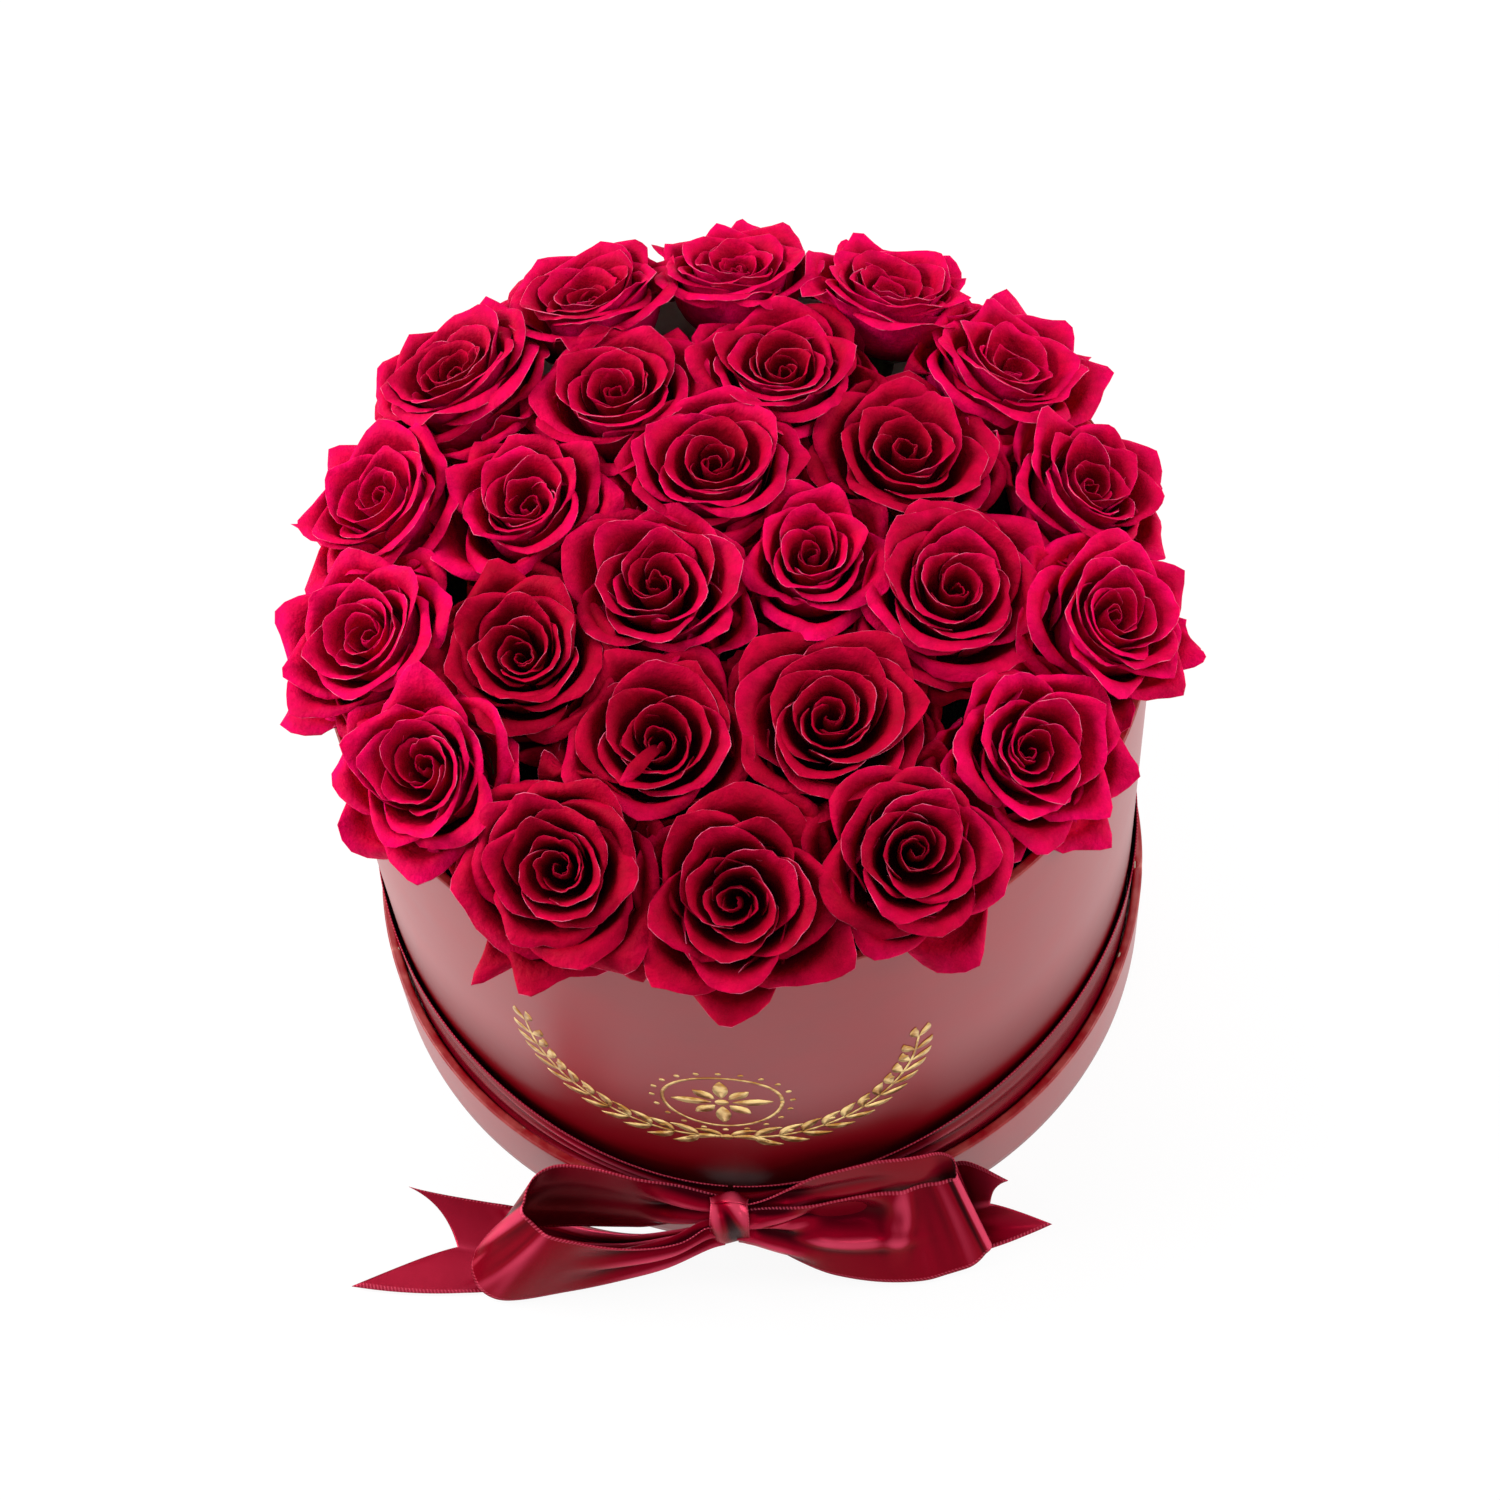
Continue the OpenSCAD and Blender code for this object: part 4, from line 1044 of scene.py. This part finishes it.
def blade(path, half_width):
    """Points and quads of one motif from its path on the wall, in mm from the ornament's middle."""
    way = headings(path)
    side = np.stack([-way[:, 1], way[:, 0]], -1) * half_width[:, None]
    flat = np.stack([path - side, path, path + side], 1)
    turn = flat[..., 0] / (BOX_R / MM)
    return two_faced(*(np.stack([r * np.sin(turn), -r * np.cos(turn), CENTRE_Z + flat[..., 1]], -1)
                       for r in (BOX_R / MM + FOIL_BACK, BOX_R / MM + FOIL_FRONT)))


def leaf(start, end, width, bow=0.0, steps=12):
    """A blade that swells between two points and bows to one side."""
    t = np.linspace(0, 1, steps)
    start, end = np.array(start, float), np.array(end, float)
    across = np.array([-(end - start)[1], (end - start)[0]])
    path = start + (end - start) * t[:, None] + across * bow * (4 * t * (1 - t))[:, None]
    return blade(path, width / 2 * np.sin(math.pi * np.clip(t, 0.02, 0.98)) ** 0.8)


def bead(centre, r, steps=14):
    """A round blade."""
    t = np.cos(np.linspace(math.pi, 0, steps))
    path = np.array(centre, float) + np.stack([t * r, 0 * t], -1)
    return blade(path, r * np.sqrt(np.clip(1 - t * t, 0.003, 1)))


print("a bead has", len(bead((0, 0), 1)[1]), "quads")

# %% Draw the ornament: a wreath of two sprigs that is open at the top, round a rosette
SPRIG = np.array([[2, -23.5], [18, -22.8], [34, -17], [47, -6], [54.5, 8], [57, 22]], float)
PAIRS = 12                             # pairs of leaves on a sprig
SPREAD, LAST_SPREAD = 38, 16           # degrees between a leaf and its stem
ROSETTE = np.array([0, 2])             # middle of the rosette, in mm
PETAL_TIPS = (14.5, 11)                # mm that its petals reach, by turns
RING_R, BEADS_R = 17, 20               # mm, the ring and the beads round it
motifs = []
for sign in (-1, 1):
    t = np.linspace(0, 1, 90)
    stem = smooth_line(SPRIG[None].repeat(len(t), 0), t) * [sign, 1]
    motifs.append(blade(stem, np.interp(t, [0, 1], [0.75, 0.35])))
    way = headings(stem)
    for k in range(PAIRS):
        last = k == PAIRS - 1
        spot = len(t) - 1 if last else 8 + 7 * k
        long = 10.2 - 0.3 * k
        for up_down in (-1, 1):
            spread = math.radians(LAST_SPREAD if last else SPREAD) * up_down
            turned = np.array([way[spot] @ [math.cos(spread), -math.sin(spread)],
                               way[spot] @ [math.sin(spread), math.cos(spread)]])
            motifs.append(leaf(stem[spot], stem[spot] + turned * long, 3.6 - 0.08 * k,
                               0.13 * up_down))
        if k % 2 and not last:
            off = np.array([-way[spot + 4][1], way[spot + 4][0]]) * 2.6 * sign
            motifs.append(bead(stem[spot + 4] + off, 0.9))
for k in range(8):
    a = math.pi / 4 * k
    way = np.array([math.cos(a), math.sin(a)])
    motifs.append(leaf(way * 3.0 + ROSETTE, way * PETAL_TIPS[k % 2] + ROSETTE, 4.4))
motifs.append(bead(ROSETTE, 2.0))
ring_turn = np.linspace(0, 2 * math.pi, 80)
ring = RING_R * np.stack([np.cos(ring_turn), np.sin(ring_turn)], -1) + ROSETTE
motifs.append(blade(ring, np.full(80, 0.55)))
for k in range(20):
    a = math.pi / 10 * k
    motifs.append(bead(BEADS_R * np.array([math.cos(a), math.sin(a)]) + ROSETTE, 0.85))
for side in (-1, 1):
    for far, high in ((12, -27), (9, -19)):
        motifs.append(leaf((side * 1.0, -23), (side * far, high), 3.2, 0.12 * side))
motifs.append(bead((0, -23.5), 1.9))
points, quads = joined(motifs)
piece("foil_ornament", points * MM, quads, gold_foil, "box")
print("motifs:", len(motifs))

# %% [markdown]
# ## The studio
# The object stands on a white floor in soft light. The background's white comes from the floor's
# and the world's colour as the camera sees them, so the light on the object stays plain.

# %% Floor
FLOOR_HALF, FLOOR_Z = 4, -0.0004       # metres


def as_seen(wire):
    """1 where a thing is looked at, also in a mirror or through glass, and 0 where it lights."""
    camera_ray = wire.node("ShaderNodeLightPath", out=0)
    glossy_ray = wire.node("ShaderNodeLightPath", out=3)
    through_ray = wire.node("ShaderNodeLightPath", out=6)
    return wire.maths("MINIMUM", camera_ray + glossy_ray + through_ray, 1.0)


floor_mesh = bpy.data.meshes.new("studio_floor")
floor_mesh.from_pydata([(x * FLOOR_HALF, y * FLOOR_HALF, FLOOR_Z)
                        for x, y in ((-1, -1), (1, -1), (1, 1), (-1, 1))], [], [(0, 1, 2, 3)])
floor = bpy.data.objects.new("studio_floor", floor_mesh)
bpy.context.scene.collection.objects.link(floor)
floor_white = bpy.data.materials.new("floor_white")
floor_white.use_nodes = True
w = Wire(floor_white.node_tree)
matt = w.node("ShaderNodeBsdfDiffuse", {}, {"Color": (0.9, 0.9, 0.9, 1)})
lit = w.node("ShaderNodeEmission", {}, {"Color": (1, 1, 1, 1), "Strength": 1.02})
both = w.node("ShaderNodeMixShader", {}, {0: as_seen(w) * 0.9, 1: matt, 2: lit})
w.tree.links.new(both.socket, w.tree.nodes["Material Output"].inputs["Surface"])
floor_mesh.materials.append(floor_white)
print("floor ready")

# %% World and lamps
WORLD_LIGHT, WORLD_SEEN = 0.36, 1.0    # its strength on the object, and as the camera sees it
world = bpy.data.worlds.new("studio")
bpy.context.scene.world = world
world.use_nodes = True
w = Wire(world.node_tree)
backdrop = world.node_tree.nodes["Background"]
strength = WORLD_LIGHT + as_seen(w) * (WORLD_SEEN - WORLD_LIGHT)
w.tree.links.new(strength.socket, backdrop.inputs["Strength"])
backdrop.inputs["Color"].default_value = (1, 1, 1, 1)
AIM = Vector((0, 0, 0.1))              # what the lamps point at
# Name: place and side in metres, power in watts
LAMPS = {
    "left_box": ((-1.1, 0.05, 0.75), 0.8, 19.5),
    "right_box": ((1.1, 0.1, 0.75), 0.8, 11),
    "top_box": ((-0.1, 0.75, 1.3), 0.8, 7),
    "front_box": ((0.3, -1.2, 0.56), 0.2, 1.3),
}
for name, (place, size, power) in LAMPS.items():
    lamp = bpy.data.lights.new(name, "AREA")
    lamp.size, lamp.energy = size, power
    softbox = bpy.data.objects.new(name, lamp)
    softbox.location = place
    softbox.rotation_euler = (Vector(place) - AIM).to_track_quat("Z", "Y").to_euler()
    bpy.context.scene.collection.objects.link(softbox)
bpy.context.scene.view_settings.view_transform = "Standard"
